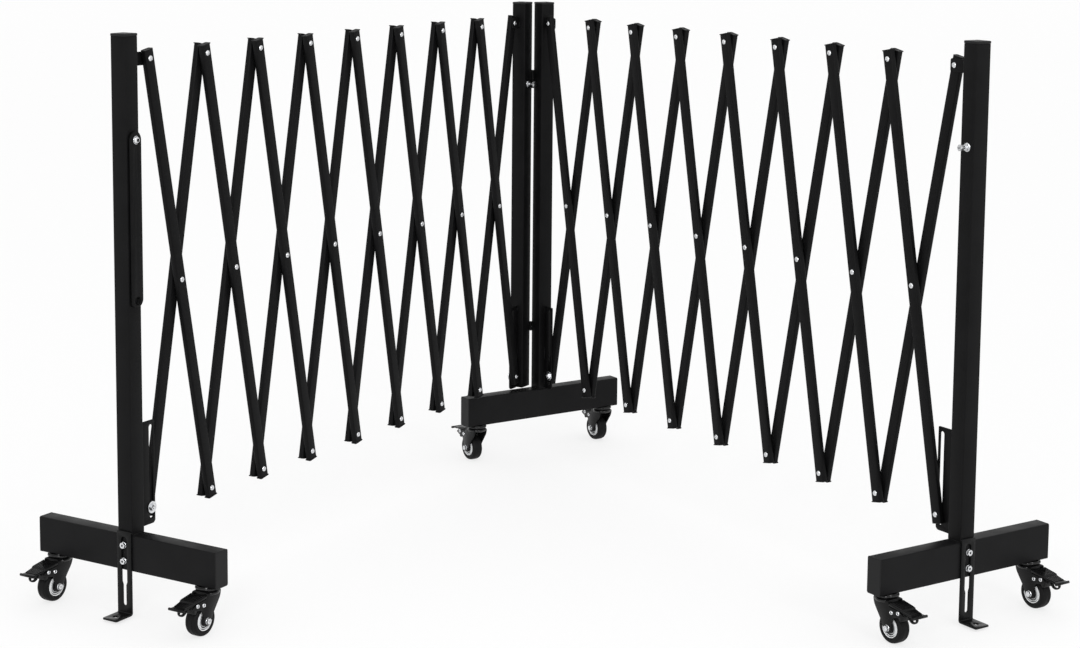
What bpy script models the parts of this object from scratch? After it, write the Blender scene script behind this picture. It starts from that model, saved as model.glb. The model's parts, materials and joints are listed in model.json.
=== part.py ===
# Expandable safety barrier: two folding lattice panels, hinged at a corner, on wheeled feet.
# Lengths are in millimetres and angles in degrees until a mesh or a location is made.
# Each panel is drawn in its own frame: x runs from its left post to its right post,
# y points to the rear of the lattice and z points up, with z = 0 on the floor.

import bpy
import bmesh
from math import cos, pi, radians, sin
from mathutils import Matrix, Vector

MM = 0.001

# Clearances and sheet metal
GAP = 0.3
PIN_PLAY = 0.4
PLATE = 2.5

# Lattice bars
CELLS = 8
PIVOT_SPAN = 753.0
BAR_WIDTH = 20.0
BAR_DEPTH = 10.0
BAR_WALL = 1.0
BAR_OVERHANG = 14.0
LEFT_REST_ANGLE = 10.83
RIGHT_REST_ANGLE = 11.16
FOLDED_ANGLE = 1.71
OPEN_ANGLE = 36.5
CORNER_ANGLE = 64.0

# Rivets and slot pins
RIVET_RADIUS = 2.5
RIVET_HEAD_RADIUS = 4.75
RIVET_HEAD = 1.8
SLOT_PIN_RADIUS = 3.5
WASHER_RADIUS = 10.0
WASHER = 1.5
SLOT_NUT_RADIUS = 6.2
SLOT_NUT = 3.6

# Posts
POST_SIZE = 30.0
POST_WALL = 1.5
POST_CAP = 5.0
POST_ABOVE_PIVOT = 42.6
END_PIVOT_FROM_FACE = 34.0
HINGE_PIVOT_FROM_FACE = 17.5
TAB_HEIGHT = 22.0
PLATE_PAST_PIVOT = 9.0
SLOT_WIDTH = 9.0
BRACKET_MARGIN = 7.0
BRACKET_FOOT = 9.5
BRACKET_CORNER = 4.0

# Feet
BEAM_LENGTH = 375.0
BEAM_HEIGHT = 60.0
BEAM_WALL = 1.5
BAR_ABOVE_BEAM = 2.8
HINGE_POST_ABOVE_BEAM = 3.0

# Casters
WHEEL_RADIUS = 26.0
WHEEL_WIDTH = 21.0
WHEEL_BORE = 4.6
WHEEL_SIDES = 20
CASTER_FROM_END = 29.5
CASTER_TRAIL = 19.0
BEAM_ABOVE_WHEEL = 25.5
RACE_RADIUS = 20.0
RACE_DEPTH = 6.0
FORK_SHEET = 2.6
KING_PIN_RADIUS = 5.0
CROWN_REAR = 15.0
PEDAL_PIN_AHEAD = 23.5
PEDAL_PIN_ABOVE = 30.5
PEDAL_HALF_WIDTH = 16.0

# Adjustable floor legs
LEG_WIDTH = 30.0
LEG_SHEET = 3.0
LEG_FOOT = 40.0
LEG_ABOVE_BEAM = 6.0
LEG_OFF_FLOOR = 4.0
LEG_SLOT_WIDE = 11.5
LEG_SLOT_NARROW = 7.3
LEG_BOLT_RADIUS = 3.0
LEG_BOLT_HEAD_RADIUS = 5.3
LEG_BOLT_HEAD = 4.5

# Lock arm and lock studs
STUD_DROP = 169.0
STUD_RADIUS = 3.0
STUD_REACH = 17.0
STUD_NUT_RADIUS = 5.8
STUD_NUT = 4.5
ARM_WIDTH = 26.0
ARM_SHEET = 3.0
ARM_STANDOFF = 2.0
ARM_SIDE_STEP = 2.0

# Corner hinge
HINGE_AXIS_FROM_FACE = 3.25
KNUCKLE_RADIUS = 2.9
HINGE_PIN_RADIUS = 1.5

# Sizes that follow from the ones above
HALF_POST = POST_SIZE / 2
HALF_BEAM = POST_SIZE / 2
BAR_NEAR = PLATE / 2 + GAP
BAR_FAR = BAR_NEAR + BAR_DEPTH
END_PIVOT = HALF_POST + END_PIVOT_FROM_FACE
HINGE_PIVOT = HALF_POST + HINGE_PIVOT_FROM_FACE
REST_LEAN = {"left": radians(LEFT_REST_ANGLE), "right": radians(RIGHT_REST_ANGLE)}
BEAM_BOTTOM = 2 * WHEEL_RADIUS + BEAM_ABOVE_WHEEL
BEAM_TOP = BEAM_BOTTOM + BEAM_HEIGHT
LOWEST_PIVOT = BEAM_TOP + BAR_OVERHANG + BAR_ABOVE_BEAM
TOP_PIVOT = LOWEST_PIVOT + PIVOT_SPAN * cos(radians(FOLDED_ANGLE))
HIGHEST_PIVOT = TOP_PIVOT - PIVOT_SPAN * cos(radians(OPEN_ANGLE))
POST_TOP = TOP_PIVOT + POST_ABOVE_PIVOT
STUD_HEIGHT = POST_TOP - STUD_DROP
FOLDED_REACH = END_PIVOT + HINGE_PIVOT + CELLS * PIVOT_SPAN * sin(radians(FOLDED_ANGLE))
HALF_CORNER = CORNER_ANGLE / 2


def finished(shape):
    bmesh.ops.recalc_face_normals(shape, faces=shape.faces)
    mesh = bpy.data.meshes.new("shape")
    shape.to_mesh(mesh)
    shape.free()
    return mesh


def block(x_range, y_range, z_range):
    shape = bmesh.new()
    bmesh.ops.create_cube(shape, size=2.0)
    for corner in shape.verts:
        for axis, limits in enumerate((x_range, y_range, z_range)):
            low, high = min(limits), max(limits)
            corner.co[axis] = (low if corner.co[axis] < 0 else high) * MM
    return finished(shape)


# A flat outline given as (x, z) points, made solid between two y values.
def plate(outline, y_range):
    low, high = min(y_range), max(y_range)
    shape = bmesh.new()
    face = shape.faces.new([shape.verts.new((x * MM, low * MM, z * MM)) for x, z in outline])
    grown = bmesh.ops.extrude_face_region(shape, geom=[face])
    raised = [item for item in grown["geom"] if isinstance(item, bmesh.types.BMVert)]
    bmesh.ops.translate(shape, verts=raised, vec=(0, (high - low) * MM, 0))
    return finished(shape)


# A stepped round bar along y through (x, z), from (y, radius) points.
def turned(steps, x=0.0, z=0.0, sides=8, start=0.0):
    shape = bmesh.new()
    rings = []
    for y, radius in steps:
        ring = []
        for number in range(sides):
            turn = start + 2 * pi * number / sides
            place = ((x + radius * cos(turn)) * MM, y * MM, (z + radius * sin(turn)) * MM)
            ring.append(shape.verts.new(place))
        rings.append(ring)
    for here, there in zip(rings, rings[1:]):
        for number in range(sides):
            after = (number + 1) % sides
            shape.faces.new((here[number], here[after], there[after], there[number]))
    shape.faces.new(rings[0])
    shape.faces.new(rings[-1])
    return finished(shape)


# A closed ring around the y axis, from (y, radius) points that go once round its section.
def wheel_ring(section, sides):
    shape = bmesh.new()
    rings = []
    for y, radius in section:
        ring = []
        for number in range(sides):
            turn = -pi / 2 + 2 * pi * number / sides
            ring.append(shape.verts.new((radius * cos(turn) * MM, y * MM, radius * sin(turn) * MM)))
        rings.append(ring)
    for here, there in zip(rings, rings[1:] + rings[:1]):
        for number in range(sides):
            after = (number + 1) % sides
            shape.faces.new((here[number], here[after], there[after], there[number]))
    return finished(shape)


def moved(mesh, matrix):
    copy = mesh.copy()
    copy.transform(matrix)
    return copy


def shift(x=0.0, y=0.0, z=0.0):
    return Matrix.Translation(Vector((x, y, z)) * MM)


# Joins tools to a body, or cuts them out of it, one Boolean after another.
def combine(body, tools, operation):
    holder = bpy.data.objects.new("body", body)
    bpy.context.scene.collection.objects.link(holder)
    helpers = []
    for tool in tools:
        helper = bpy.data.objects.new("tool", tool)
        helper.hide_render = True
        helper.display_type = "WIRE"
        bpy.context.scene.collection.objects.link(helper)
        step = holder.modifiers.new("step", "BOOLEAN")
        step.operation = operation
        step.solver = "EXACT"
        step.object = helper
        helpers.append(helper)
    graph = bpy.context.evaluated_depsgraph_get()
    result = bpy.data.meshes.new_from_object(holder.evaluated_get(graph))
    for item in helpers + [holder]:
        bpy.data.objects.remove(item)
    return result


def joined(body, tools):
    return combine(body, tools, "UNION")


def cut(body, tools):
    return combine(body, tools, "DIFFERENCE")


# Radius of a many-sided hole that leaves play all round a pin of the given radius.
def hole_radius(pin_radius, sides=8):
    return (pin_radius + PIN_PLAY) / cos(pi / sides)


def hole(x, z, radius, y_range, sides=8):
    low, high = min(y_range), max(y_range)
    return turned([(low, radius), (high, radius)], x, z, sides)


# An upright slot with round ends, between two end centres.
def slot(x, low, high, width, y_range, steps=4):
    half = width / 2
    outline = []
    for number in range(steps + 1):
        turn = pi * number / steps
        outline.append((x + half * cos(turn), high + half * sin(turn)))
    for number in range(steps + 1):
        turn = pi + pi * number / steps
        outline.append((x + half * cos(turn), low + half * sin(turn)))
    return plate(outline, y_range)


def paint(name, colour, roughness, metallic):
    material = bpy.data.materials.new(name + " finish")
    material.use_nodes = True
    surface = material.node_tree.nodes["Principled BSDF"]
    surface.inputs["Base Color"].default_value = (*colour, 1.0)
    surface.inputs["Roughness"].default_value = roughness
    surface.inputs["Metallic"].default_value = metallic
    return material


POWDER_BLACK = ((0.014, 0.014, 0.015), 0.5, 0.0)
SHEET_BLACK = ((0.012, 0.012, 0.013), 0.42, 0.0)
TYRE_BLACK = ((0.010, 0.010, 0.011), 0.6, 0.0)


def frame(name, parent=None, location=(0, 0, 0), turn=0.0):
    empty = bpy.data.objects.new(name, None)
    empty.parent = parent
    empty.location = Vector(location) * MM
    empty.rotation_euler = (0, 0, turn)
    bpy.context.scene.collection.objects.link(empty)
    return empty


def piece(name, mesh, look, parent, location=(0, 0, 0), rotation=(0, 0, 0)):
    mesh.name = name
    mesh.materials.clear()
    mesh.materials.append(paint(name, *look))
    mesh.shade_smooth()
    mesh.set_sharp_from_angle(angle=radians(50))
    thing = bpy.data.objects.new(name, mesh)
    thing.parent = parent
    thing.location = Vector(location) * MM
    thing.rotation_euler = rotation
    bpy.context.scene.collection.objects.link(thing)
    return thing


# Bars

def bar_tube(y_near, y_far):
    half = BAR_WIDTH / 2
    reach = PIVOT_SPAN / 2 + BAR_OVERHANG
    low, high = min(y_near, y_far), max(y_near, y_far)
    outer = block((-half, half), (low, high), (-reach, reach))
    inside = (low + BAR_WALL, high - BAR_WALL)
    inner = block((BAR_WALL - half, half - BAR_WALL), inside, (-reach - 5, reach + 5))
    return cut(outer, [inner])


# Headed pin from the front bar through whatever lies behind it.
def front_rivet(z, behind, radius=RIVET_RADIUS):
    front = -BAR_FAR - RIVET_HEAD
    seat = 0.1 - BAR_FAR
    steps = [(front, RIVET_HEAD_RADIUS), (seat, RIVET_HEAD_RADIUS), (seat, radius)]
    steps += [(behind + GAP, radius), (behind + GAP, RIVET_HEAD_RADIUS)]
    steps += [(behind + GAP + RIVET_HEAD, RIVET_HEAD_RADIUS)]
    return turned(steps, z=z)


# Pin of the last front bar, running in a slot, with a wide washer and a nut behind it.
def front_slot_pin(z):
    back = PLATE / 2 + GAP
    steps = [(-BAR_FAR - RIVET_HEAD, RIVET_HEAD_RADIUS), (0.1 - BAR_FAR, RIVET_HEAD_RADIUS)]
    steps += [(0.1 - BAR_FAR, SLOT_PIN_RADIUS), (back, SLOT_PIN_RADIUS), (back, WASHER_RADIUS)]
    steps += [(back + WASHER, WASHER_RADIUS), (back + WASHER, SLOT_NUT_RADIUS)]
    steps += [(back + WASHER + SLOT_NUT, SLOT_NUT_RADIUS)]
    return turned(steps, z=z, sides=12)


# Pin of the first rear bar, running in a slot, with its washer and nut in front of it.
def rear_slot_pin(z):
    front = -PLATE / 2 - GAP
    steps = [(front - WASHER - SLOT_NUT, SLOT_NUT_RADIUS), (front - WASHER, SLOT_NUT_RADIUS)]
    steps += [(front - WASHER, WASHER_RADIUS), (front, WASHER_RADIUS), (front, SLOT_PIN_RADIUS)]
    steps += [(BAR_FAR - 0.1, SLOT_PIN_RADIUS), (BAR_FAR - 0.1, RIVET_HEAD_RADIUS)]
    steps += [(BAR_FAR + RIVET_HEAD, RIVET_HEAD_RADIUS)]
    return turned(steps, z=z, sides=12)


# Pin of the last rear bar through the tab of its post, headed in front.
def rear_tab_rivet(z):
    front = -PLATE / 2 - GAP
    steps = [(front - RIVET_HEAD, RIVET_HEAD_RADIUS), (front, RIVET_HEAD_RADIUS)]
    steps += [(front, RIVET_RADIUS), (BAR_FAR - 0.1, RIVET_RADIUS)]
    steps += [(BAR_FAR - 0.1, RIVET_HEAD_RADIUS), (BAR_FAR + RIVET_HEAD, RIVET_HEAD_RADIUS)]
    return turned(steps, z=z)


def front_bar(kind):
    end = PIVOT_SPAN / 2
    top = front_rivet(end, PLATE / 2 if kind == "first" else BAR_FAR)
    bottom = front_slot_pin(-end) if kind == "last" else front_rivet(-end, BAR_FAR)
    return joined(bar_tube(-BAR_NEAR, -BAR_FAR), [top, front_rivet(0, BAR_FAR), bottom])


def rear_bar(kind):
    end = PIVOT_SPAN / 2
    through = (0, BAR_FAR + 5)
    radius = hole_radius(RIVET_RADIUS)
    holes = [hole(0, 0, radius, through)]
    if kind != "last":
        holes.append(hole(0, end, radius, through))
    if kind != "first":
        holes.append(hole(0, -end, radius, through))
    body = cut(bar_tube(BAR_NEAR, BAR_FAR), holes)
    if kind == "first":
        body = joined(body, [rear_slot_pin(-end)])
    if kind == "last":
        body = joined(body, [rear_tab_rivet(end)])
    return body


def bar_kind(number):
    if number == 0:
        return "first"
    if number == CELLS - 1:
        return "last"
    return "middle"


def pitch(side):
    return PIVOT_SPAN * sin(REST_LEAN[side])


def panel_length(side):
    return END_PIVOT + HINGE_PIVOT + CELLS * pitch(side)


def pivot_x(side, index):
    first = END_PIVOT if side == "left" else HINGE_PIVOT
    return first + index * pitch(side)


# Front bars lean one way and rear bars the other. A bar hangs from the pivot that is
# nearer to the corner hinge, so each one turns about its own origin.
def lattice(side, panel, fronts, rears, corner_first):
    lean = REST_LEAN[side]
    middle = TOP_PIVOT - PIVOT_SPAN / 2 * cos(lean)
    from_top = shift(z=-PIVOT_SPAN / 2)
    for number in range(CELLS):
        front = fronts[bar_kind(number)]
        rear = rears[bar_kind(number)]
        centre = pivot_x(side, number + 0.5)
        if corner_first:
            front = moved(front, from_top)
            rear = rear.copy()
            front_at = (pivot_x(side, number), 0, TOP_PIVOT)
            rear_at = (centre, 0, middle)
        else:
            rear = moved(rear, from_top)
            front = front.copy()
            front_at = (centre, 0, middle)
            rear_at = (pivot_x(side, number + 1), 0, TOP_PIVOT)
        label = str(number + 1)
        piece(side + "_front_bar_" + label, front, POWDER_BLACK, panel, front_at, (0, -lean, 0))
        piece(side + "_rear_bar_" + label, rear, POWDER_BLACK, panel, rear_at, (0, lean, 0))


# Posts. Each is drawn about its own centre line. Facing is 1 where the lattice lies
# toward +x and -1 where it lies toward -x.

def post_tube(bottom):
    outer = block((-HALF_POST, HALF_POST), (-HALF_POST, HALF_POST), (bottom, POST_TOP))
    half = HALF_POST - POST_WALL
    inner = block((-half, half), (-half, half), (bottom - 5, POST_TOP - POST_CAP))
    return cut(outer, [inner])


def top_tab(facing, pivot):
    start = HALF_POST - 0.5
    end = pivot + PLATE_PAST_PIVOT
    heights = (TOP_PIVOT - TAB_HEIGHT / 2, TOP_PIVOT + TAB_HEIGHT / 2)
    body = block((facing * start, facing * end), (-PLATE / 2, PLATE / 2), heights)
    radius = hole_radius(RIVET_RADIUS)
    return cut(body, [hole(facing * pivot, TOP_PIVOT, radius, (-5, 5))])


def slot_bracket(facing, pivot):
    start = HALF_POST - 0.5
    end = pivot + PLATE_PAST_PIVOT
    half = SLOT_WIDTH / 2
    play = half - SLOT_PIN_RADIUS
    low = LOWEST_PIVOT - play / 2
    high = HIGHEST_PIVOT + play / 2
    bottom = low - half - BRACKET_FOOT
    top = high + half + BRACKET_MARGIN
    outline = [(start, bottom), (end - BRACKET_CORNER, bottom), (end, bottom + BRACKET_CORNER)]
    outline += [(end, top), (start, top)]
    body = plate([(facing * x, z) for x, z in outline], (-PLATE / 2, PLATE / 2))
    return cut(body, [slot(facing * pivot, low, high, SLOT_WIDTH, (-5, 5))])


# Bolt through the post, its end standing out in front with a nut at the face and one at the tip.
def lock_stud():
    face = -HALF_POST
    steps = [(face + 0.5, STUD_NUT_RADIUS), (face - STUD_NUT, STUD_NUT_RADIUS)]
    steps += [(face - STUD_NUT, STUD_RADIUS), (face - STUD_REACH + STUD_NUT, STUD_RADIUS)]
    steps += [(face - STUD_REACH + STUD_NUT, STUD_NUT_RADIUS)]
    steps += [(face - STUD_REACH, STUD_NUT_RADIUS)]
    return turned(steps, z=STUD_HEIGHT, sides=6, start=pi / 6)


# Shouldered bolt that the lock arm turns on.
def arm_bolt():
    face = -HALF_POST
    arm_back = face - ARM_STANDOFF
    arm_front = arm_back - ARM_SHEET
    shoulder = [(face + 0.5, 7.0), (arm_back + GAP, 7.0), (arm_back + GAP, STUD_RADIUS)]
    head = [(arm_front - GAP, STUD_RADIUS), (arm_front - GAP, 6.0), (arm_front - GAP - 3.2, 6.0)]
    return turned(shoulder + head, x=ARM_SIDE_STEP, z=STUD_HEIGHT, sides=12)


# Hinge lines: the pin stands in front of the post's corner, away from the lattice.

def upright(steps, x, y, sides=12):
    turn = Matrix.Rotation(radians(90), 4, "X")
    return moved(turned(steps, sides=sides), shift(x, y) @ turn)


def hinge_x(facing):
    return -facing * (HALF_POST + HINGE_AXIS_FROM_FACE)


def knuckle(facing, low, high):
    x = hinge_x(facing)
    y = -HALF_POST
    body = upright([(low, KNUCKLE_RADIUS), (high, KNUCKLE_RADIUS)], x, y)
    depth = KNUCKLE_RADIUS * 0.75
    web = block((x, -facing * (HALF_POST - 0.5)), (y, y + depth), (low, high))
    return joined(body, [web])


def bored_knuckle(facing, low, high):
    radius = hole_radius(HINGE_PIN_RADIUS, 12)
    bore = upright([(low - 1, radius), (high + 1, radius)], hinge_x(facing), -HALF_POST)
    return cut(knuckle(facing, low, high), [bore])


def pinned_knuckle(facing, low, split, high):
    x = hinge_x(facing)
    y = -HALF_POST
    pin = [(split - 2, HINGE_PIN_RADIUS), (high + GAP, HINGE_PIN_RADIUS)]
    pin += [(high + GAP, HINGE_PIN_RADIUS + 1.4), (high + GAP + 1.5, HINGE_PIN_RADIUS + 1.4)]
    return joined(knuckle(facing, low, split - GAP / 2), [upright(pin, x, y)])


HINGES = (
    (POST_TOP - 179, POST_TOP - 160, POST_TOP - 143),
    (BEAM_TOP + 120, BEAM_TOP + 129, BEAM_TOP + 138),
)


def post_mesh(facing, pivot, bottom, extras):
    plates = [top_tab(facing, pivot), slot_bracket(facing, pivot)]
    return joined(post_tube(bottom), plates + extras)


# Feet

def foot_beam(bolt_side):
    half = BEAM_LENGTH / 2
    outer = block((-HALF_BEAM, HALF_BEAM), (-half, half), (BEAM_BOTTOM, BEAM_TOP))
    inside = HALF_BEAM - BEAM_WALL
    heights = (BEAM_BOTTOM + BEAM_WALL, BEAM_TOP - BEAM_WALL)
    body = cut(outer, [block((-inside, inside), (-half - 5, half + 5), heights)])
    races = []
    bores = []
    for side in (-1, 1):
        y = side * caster_offset()
        race = [(BEAM_BOTTOM - RACE_DEPTH, RACE_RADIUS), (BEAM_BOTTOM + 0.5, RACE_RADIUS)]
        races.append(upright(race, 0, y, sides=16))
        radius = hole_radius(KING_PIN_RADIUS, 12)
        bore = [(BEAM_BOTTOM - RACE_DEPTH - 5, radius), (BEAM_BOTTOM + 8, radius)]
        bores.append(upright(bore, 0, y))
    body = cut(joined(body, races), bores)
    if bolt_side:
        body = joined(body, [leg_bolt(bolt_side, height) for height in leg_bolt_heights()])
    return body


def caster_offset():
    return BEAM_LENGTH / 2 - CASTER_FROM_END


def leg_bolt_heights():
    return (BEAM_TOP - 17.0, BEAM_TOP - 43.5)


# Six-sided bolt head that clamps the floor leg to the outer face of the beam.
def leg_bolt(side, height):
    face = HALF_BEAM
    leg_front = face + GAP + LEG_SHEET + GAP
    steps = [(face - 1.0, LEG_BOLT_RADIUS), (leg_front, LEG_BOLT_RADIUS)]
    steps += [(leg_front, LEG_BOLT_HEAD_RADIUS), (leg_front + LEG_BOLT_HEAD, LEG_BOLT_HEAD_RADIUS)]
    turn = Matrix.Rotation(radians(-90 * side), 4, "Z")
    return moved(turned(steps, sides=6), shift(z=height) @ turn)


# Bent strip: an upright with a keyhole slot, and a foot held just off the floor.
# It is drawn with its front along +y and its origin on the floor under the beam's face.
def floor_leg_mesh():
    half = LEG_WIDTH / 2
    top = BEAM_TOP + LEG_ABOVE_BEAM
    low = LEG_OFF_FLOOR
    wall = block((-half, half), (GAP, GAP + LEG_SHEET), (low, top))
    foot = block((-half, half), (GAP + 0.5, GAP + LEG_FOOT), (low, low + LEG_SHEET))
    body = joined(wall, [foot])
    wide_low = BEAM_BOTTOM - 24.0 + LEG_SLOT_WIDE / 2
    wide_high = BEAM_TOP - 3.0 - LEG_SLOT_WIDE / 2
    wide = slot(0, wide_low, wide_high, LEG_SLOT_WIDE, (-5, LEG_SHEET + 5), steps=6)
    narrow_low = low + 15.5 + LEG_SLOT_NARROW / 2
    narrow = slot(0, narrow_low, wide_low, LEG_SLOT_NARROW, (-5, LEG_SHEET + 5))
    radius = 4.5
    through = [(low - 5, radius), (low + LEG_SHEET + 5, radius)]
    drop = upright(through, 0, GAP + LEG_FOOT * 0.62)
    return cut(body, [wide, narrow, drop])


# Casters. Each is drawn with its swivel axis at x = y = 0, its pedal toward +x and its
# axle along y.

def wheel_mesh():
    half = WHEEL_WIDTH / 2
    edge = WHEEL_RADIUS
    hub = half + 1.5
    side = [(hub, WHEEL_BORE), (hub, 0.34 * edge), (half - 1.6, 0.37 * edge)]
    side += [(half, 0.8 * edge), (half - 2.5, edge)]
    other = [(-y, radius) for y, radius in reversed(side)]
    return wheel_ring(side + other, WHEEL_SIDES)


def pedal_pivot():
    return CASTER_TRAIL + PEDAL_PIN_AHEAD, WHEEL_RADIUS + PEDAL_PIN_ABOVE


# One side of the fork, from its rear edge round the axle and forward to the pedal pin.
def cheek_outline(top):
    x = CASTER_TRAIL
    z = WHEEL_RADIUS
    pin_x, pin_z = pedal_pivot()
    outline = [(-CROWN_REAR, top), (0.5 - CROWN_REAR, top - 7), (3 - CROWN_REAR, top - 14)]
    outline += [(x - 14, z + 8), (x - 10, z - 2), (x - 5, z - 8), (x + 5, z - 8)]
    outline += [(x + 9.5, z - 2), (x + 9, z + 10), (x + 13, z + 20.5)]
    outline += [(pin_x + 3.5, pin_z - 7), (pin_x + 11.5, pin_z - 3.5), (pin_x + 11.5, pin_z - 1.5)]
    outline += [(pin_x + 7.5, pin_z + 0.9), (pin_x, pin_z + 3.5), (RACE_RADIUS, pin_z + 5.9)]
    return outline + [(RACE_RADIUS, top)]


# Round head on the outer face of each fork side.
def cheek_rivets(x, z, outer):
    heads = []
    for side in (-1, 1):
        steps = [(side * (outer - 0.5), 3.3), (side * (outer + 1.3), 3.3)]
        heads.append(turned(steps, x, z))
    return heads


def fork_mesh():
    top = BEAM_BOTTOM - RACE_DEPTH - GAP
    low = top - 3.4
    pin_x, pin_z = pedal_pivot()
    inner = WHEEL_WIDTH / 2 + 2.4
    outer = inner + FORK_SHEET
    outline = cheek_outline(top)
    crown = block((-CROWN_REAR, RACE_RADIUS), (-outer, outer), (low, top))
    sheets = [plate(outline, (side * inner, side * outer)) for side in (-1, 1)]
    cup = upright([(low - 3.0, RACE_RADIUS), (top, RACE_RADIUS)], 0, 0, sides=16)
    king = [(low + 0.5, KING_PIN_RADIUS), (BEAM_BOTTOM + BEAM_WALL + GAP, KING_PIN_RADIUS)]
    king += [(BEAM_BOTTOM + BEAM_WALL + GAP, 8.0), (BEAM_BOTTOM + BEAM_WALL + 2.5, 8.0)]
    axle = [(-outer - 3.5, 5.0), (0.5 - outer, 5.0), (0.5 - outer, 4.0), (outer - 0.5, 4.0)]
    axle += [(outer - 0.5, 5.0), (outer + 3.5, 5.0)]
    pins = [turned(axle, CASTER_TRAIL, WHEEL_RADIUS, sides=6), upright(king, 0, 0, sides=8)]
    pins.append(turned([(-outer - 0.8, 2.4), (outer + 0.8, 2.4)], pin_x, pin_z))
    rivets = cheek_rivets(pin_x, pin_z, outer)
    rivets += cheek_rivets(pin_x - 15, pin_z - 2.7, outer)
    return joined(crown, sheets + [cup] + pins + rivets)


# Brake pedal about its own pin: a wide sloping tread, a body between the fork's sides
# with a shoe under it, and a small looped tab.
def pedal_mesh():
    inner = WHEEL_WIDTH / 2 + 2.4 - 0.6
    tread = [(-21.5, 7.1), (7.5, 3.3), (19.5, 0.7), (32, -0.3), (34, 0.7), (32.5, 1.9)]
    tread += [(20.5, 3.7), (8.5, 6.8), (-21.5, 11)]
    shoe = [(-6.5, 6), (-6.5, -3.5), (-1, -11.5), (0.5, -13.5), (5, -13.5), (7.5, -4.5), (9.5, 4)]
    tab = [(8, 4), (8.5, -7), (12, -12.5), (17, -14.3), (22, -11.5), (24, -6), (21.5, 2)]
    body = plate(shoe, (-inner, inner))
    wide = plate(tread, (-PEDAL_HALF_WIDTH, PEDAL_HALF_WIDTH))
    small = plate(tab, (-2.5, 2.5))
    bore = hole(0, 0, hole_radius(2.4), (-20, 20))
    loop = hole(16.5, -9.0, 3.4, (-5, 5))
    return cut(joined(body, [wide, small]), [bore, loop])


def caster(name, foot, y, turn, fork, wheel, pedal):
    swivel = frame(name + "_swivel", foot, (0, y, 0), turn)
    pin_x, pin_z = pedal_pivot()
    piece(name + "_fork", fork.copy(), SHEET_BLACK, swivel)
    piece(name + "_wheel", wheel.copy(), TYRE_BLACK, swivel, (CASTER_TRAIL, 0, WHEEL_RADIUS))
    piece(name + "_pedal", pedal.copy(), SHEET_BLACK, swivel, (pin_x, 0, pin_z))


def casters(name, foot, outward, fork, wheel, pedal):
    turn = 0.0 if outward > 0 else pi
    offset = caster_offset()
    caster(name + "_inner_caster", foot, -offset, turn, fork, wheel, pedal)
    caster(name + "_outer_caster", foot, offset, turn, fork, wheel, pedal)


def arm_mesh():
    half = ARM_WIDTH / 2
    reach = FOLDED_REACH - ARM_SIDE_STEP
    low = -reach - 12
    outline = [(-half, low + 4), (half - 9, low), (half, low + 9), (half, 4), (half - 5, 11)]
    outline += [(half - 10, 13), (10 - half, 13), (5 - half, 11), (-half, 4)]
    face = -HALF_POST - ARM_STANDOFF
    body = plate(outline, (face - ARM_SHEET, face))
    through = (face - ARM_SHEET - 5, face + 5)
    turning = hole(0, 0, hole_radius(STUD_RADIUS, 12), through, sides=12)
    catch = hole(0, -reach, STUD_NUT_RADIUS + 0.8, through, sides=12)
    return cut(body, [turning, catch])


# The whole barrier

def clear_scene():
    for thing in list(bpy.data.objects):
        bpy.data.objects.remove(thing)


# Where a panel's frame goes so that its hinge line stands on the common corner axis.
def panel_place(x_on_panel, turn):
    offset = Matrix.Rotation(turn, 3, "Z") @ Vector((x_on_panel, -HALF_POST, 0))
    return -offset


def build_posts(left, right):
    left_far = (panel_length("left"), 0, 0)
    right_far = (panel_length("right"), 0, 0)
    on_beam = BEAM_TOP + GAP
    above_beam = BEAM_TOP + HINGE_POST_ABOVE_BEAM
    lower = []
    upper = []
    for low, split, high in HINGES:
        lower.append(pinned_knuckle(1, low, split, high))
        upper.append(bored_knuckle(-1, split + GAP / 2, high))
    left_end = post_mesh(1, END_PIVOT, on_beam, [arm_bolt()])
    left_hinge = post_mesh(-1, HINGE_PIVOT, above_beam, [lock_stud()] + upper)
    right_hinge = post_mesh(1, HINGE_PIVOT, on_beam, lower)
    right_end = post_mesh(-1, END_PIVOT, on_beam, [lock_stud()])
    piece("left_end_post", left_end, POWDER_BLACK, left)
    piece("left_hinge_post", left_hinge, POWDER_BLACK, left, left_far)
    piece("right_hinge_post", right_hinge, POWDER_BLACK, right)
    piece("right_end_post", right_end, POWDER_BLACK, right, right_far)


def build_feet(left, right):
    fork = fork_mesh()
    wheel = wheel_mesh()
    pedal = pedal_mesh()
    leg = floor_leg_mesh()
    left_foot = frame("left_foot", left)
    centre_foot = frame("centre_foot", right)
    right_foot = frame("right_foot", right, (panel_length("right"), 0, 0))
    piece("left_foot_beam", foot_beam(-1), POWDER_BLACK, left_foot)
    piece("centre_foot_beam", foot_beam(0), POWDER_BLACK, centre_foot)
    piece("right_foot_beam", foot_beam(1), POWDER_BLACK, right_foot)
    casters("left", left_foot, -1, fork, wheel, pedal)
    casters("centre", centre_foot, -1, fork, wheel, pedal)
    casters("right", right_foot, 1, fork, wheel, pedal)
    left_face = (-HALF_BEAM, 0, 0)
    right_face = (HALF_BEAM, 0, 0)
    piece("left_floor_leg", leg.copy(), SHEET_BLACK, left_foot, left_face, (0, 0, pi / 2))
    piece("right_floor_leg", leg.copy(), SHEET_BLACK, right_foot, right_face, (0, 0, -pi / 2))


# The middle of the base goes to the origin, on the floor.
def centre_on_floor(roots):
    bpy.context.view_layer.update()
    corners = []
    for thing in bpy.context.scene.objects:
        if thing.type == "MESH":
            corners += [thing.matrix_world @ corner.co for corner in thing.data.vertices]
    lows = [min(corner[axis] for corner in corners) for axis in range(3)]
    highs = [max(corner[axis] for corner in corners) for axis in range(3)]
    middle = Vector(((lows[0] + highs[0]) / 2, (lows[1] + highs[1]) / 2, lows[2]))
    for root in roots:
        root.location -= middle
    bpy.context.view_layer.update()


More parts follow.
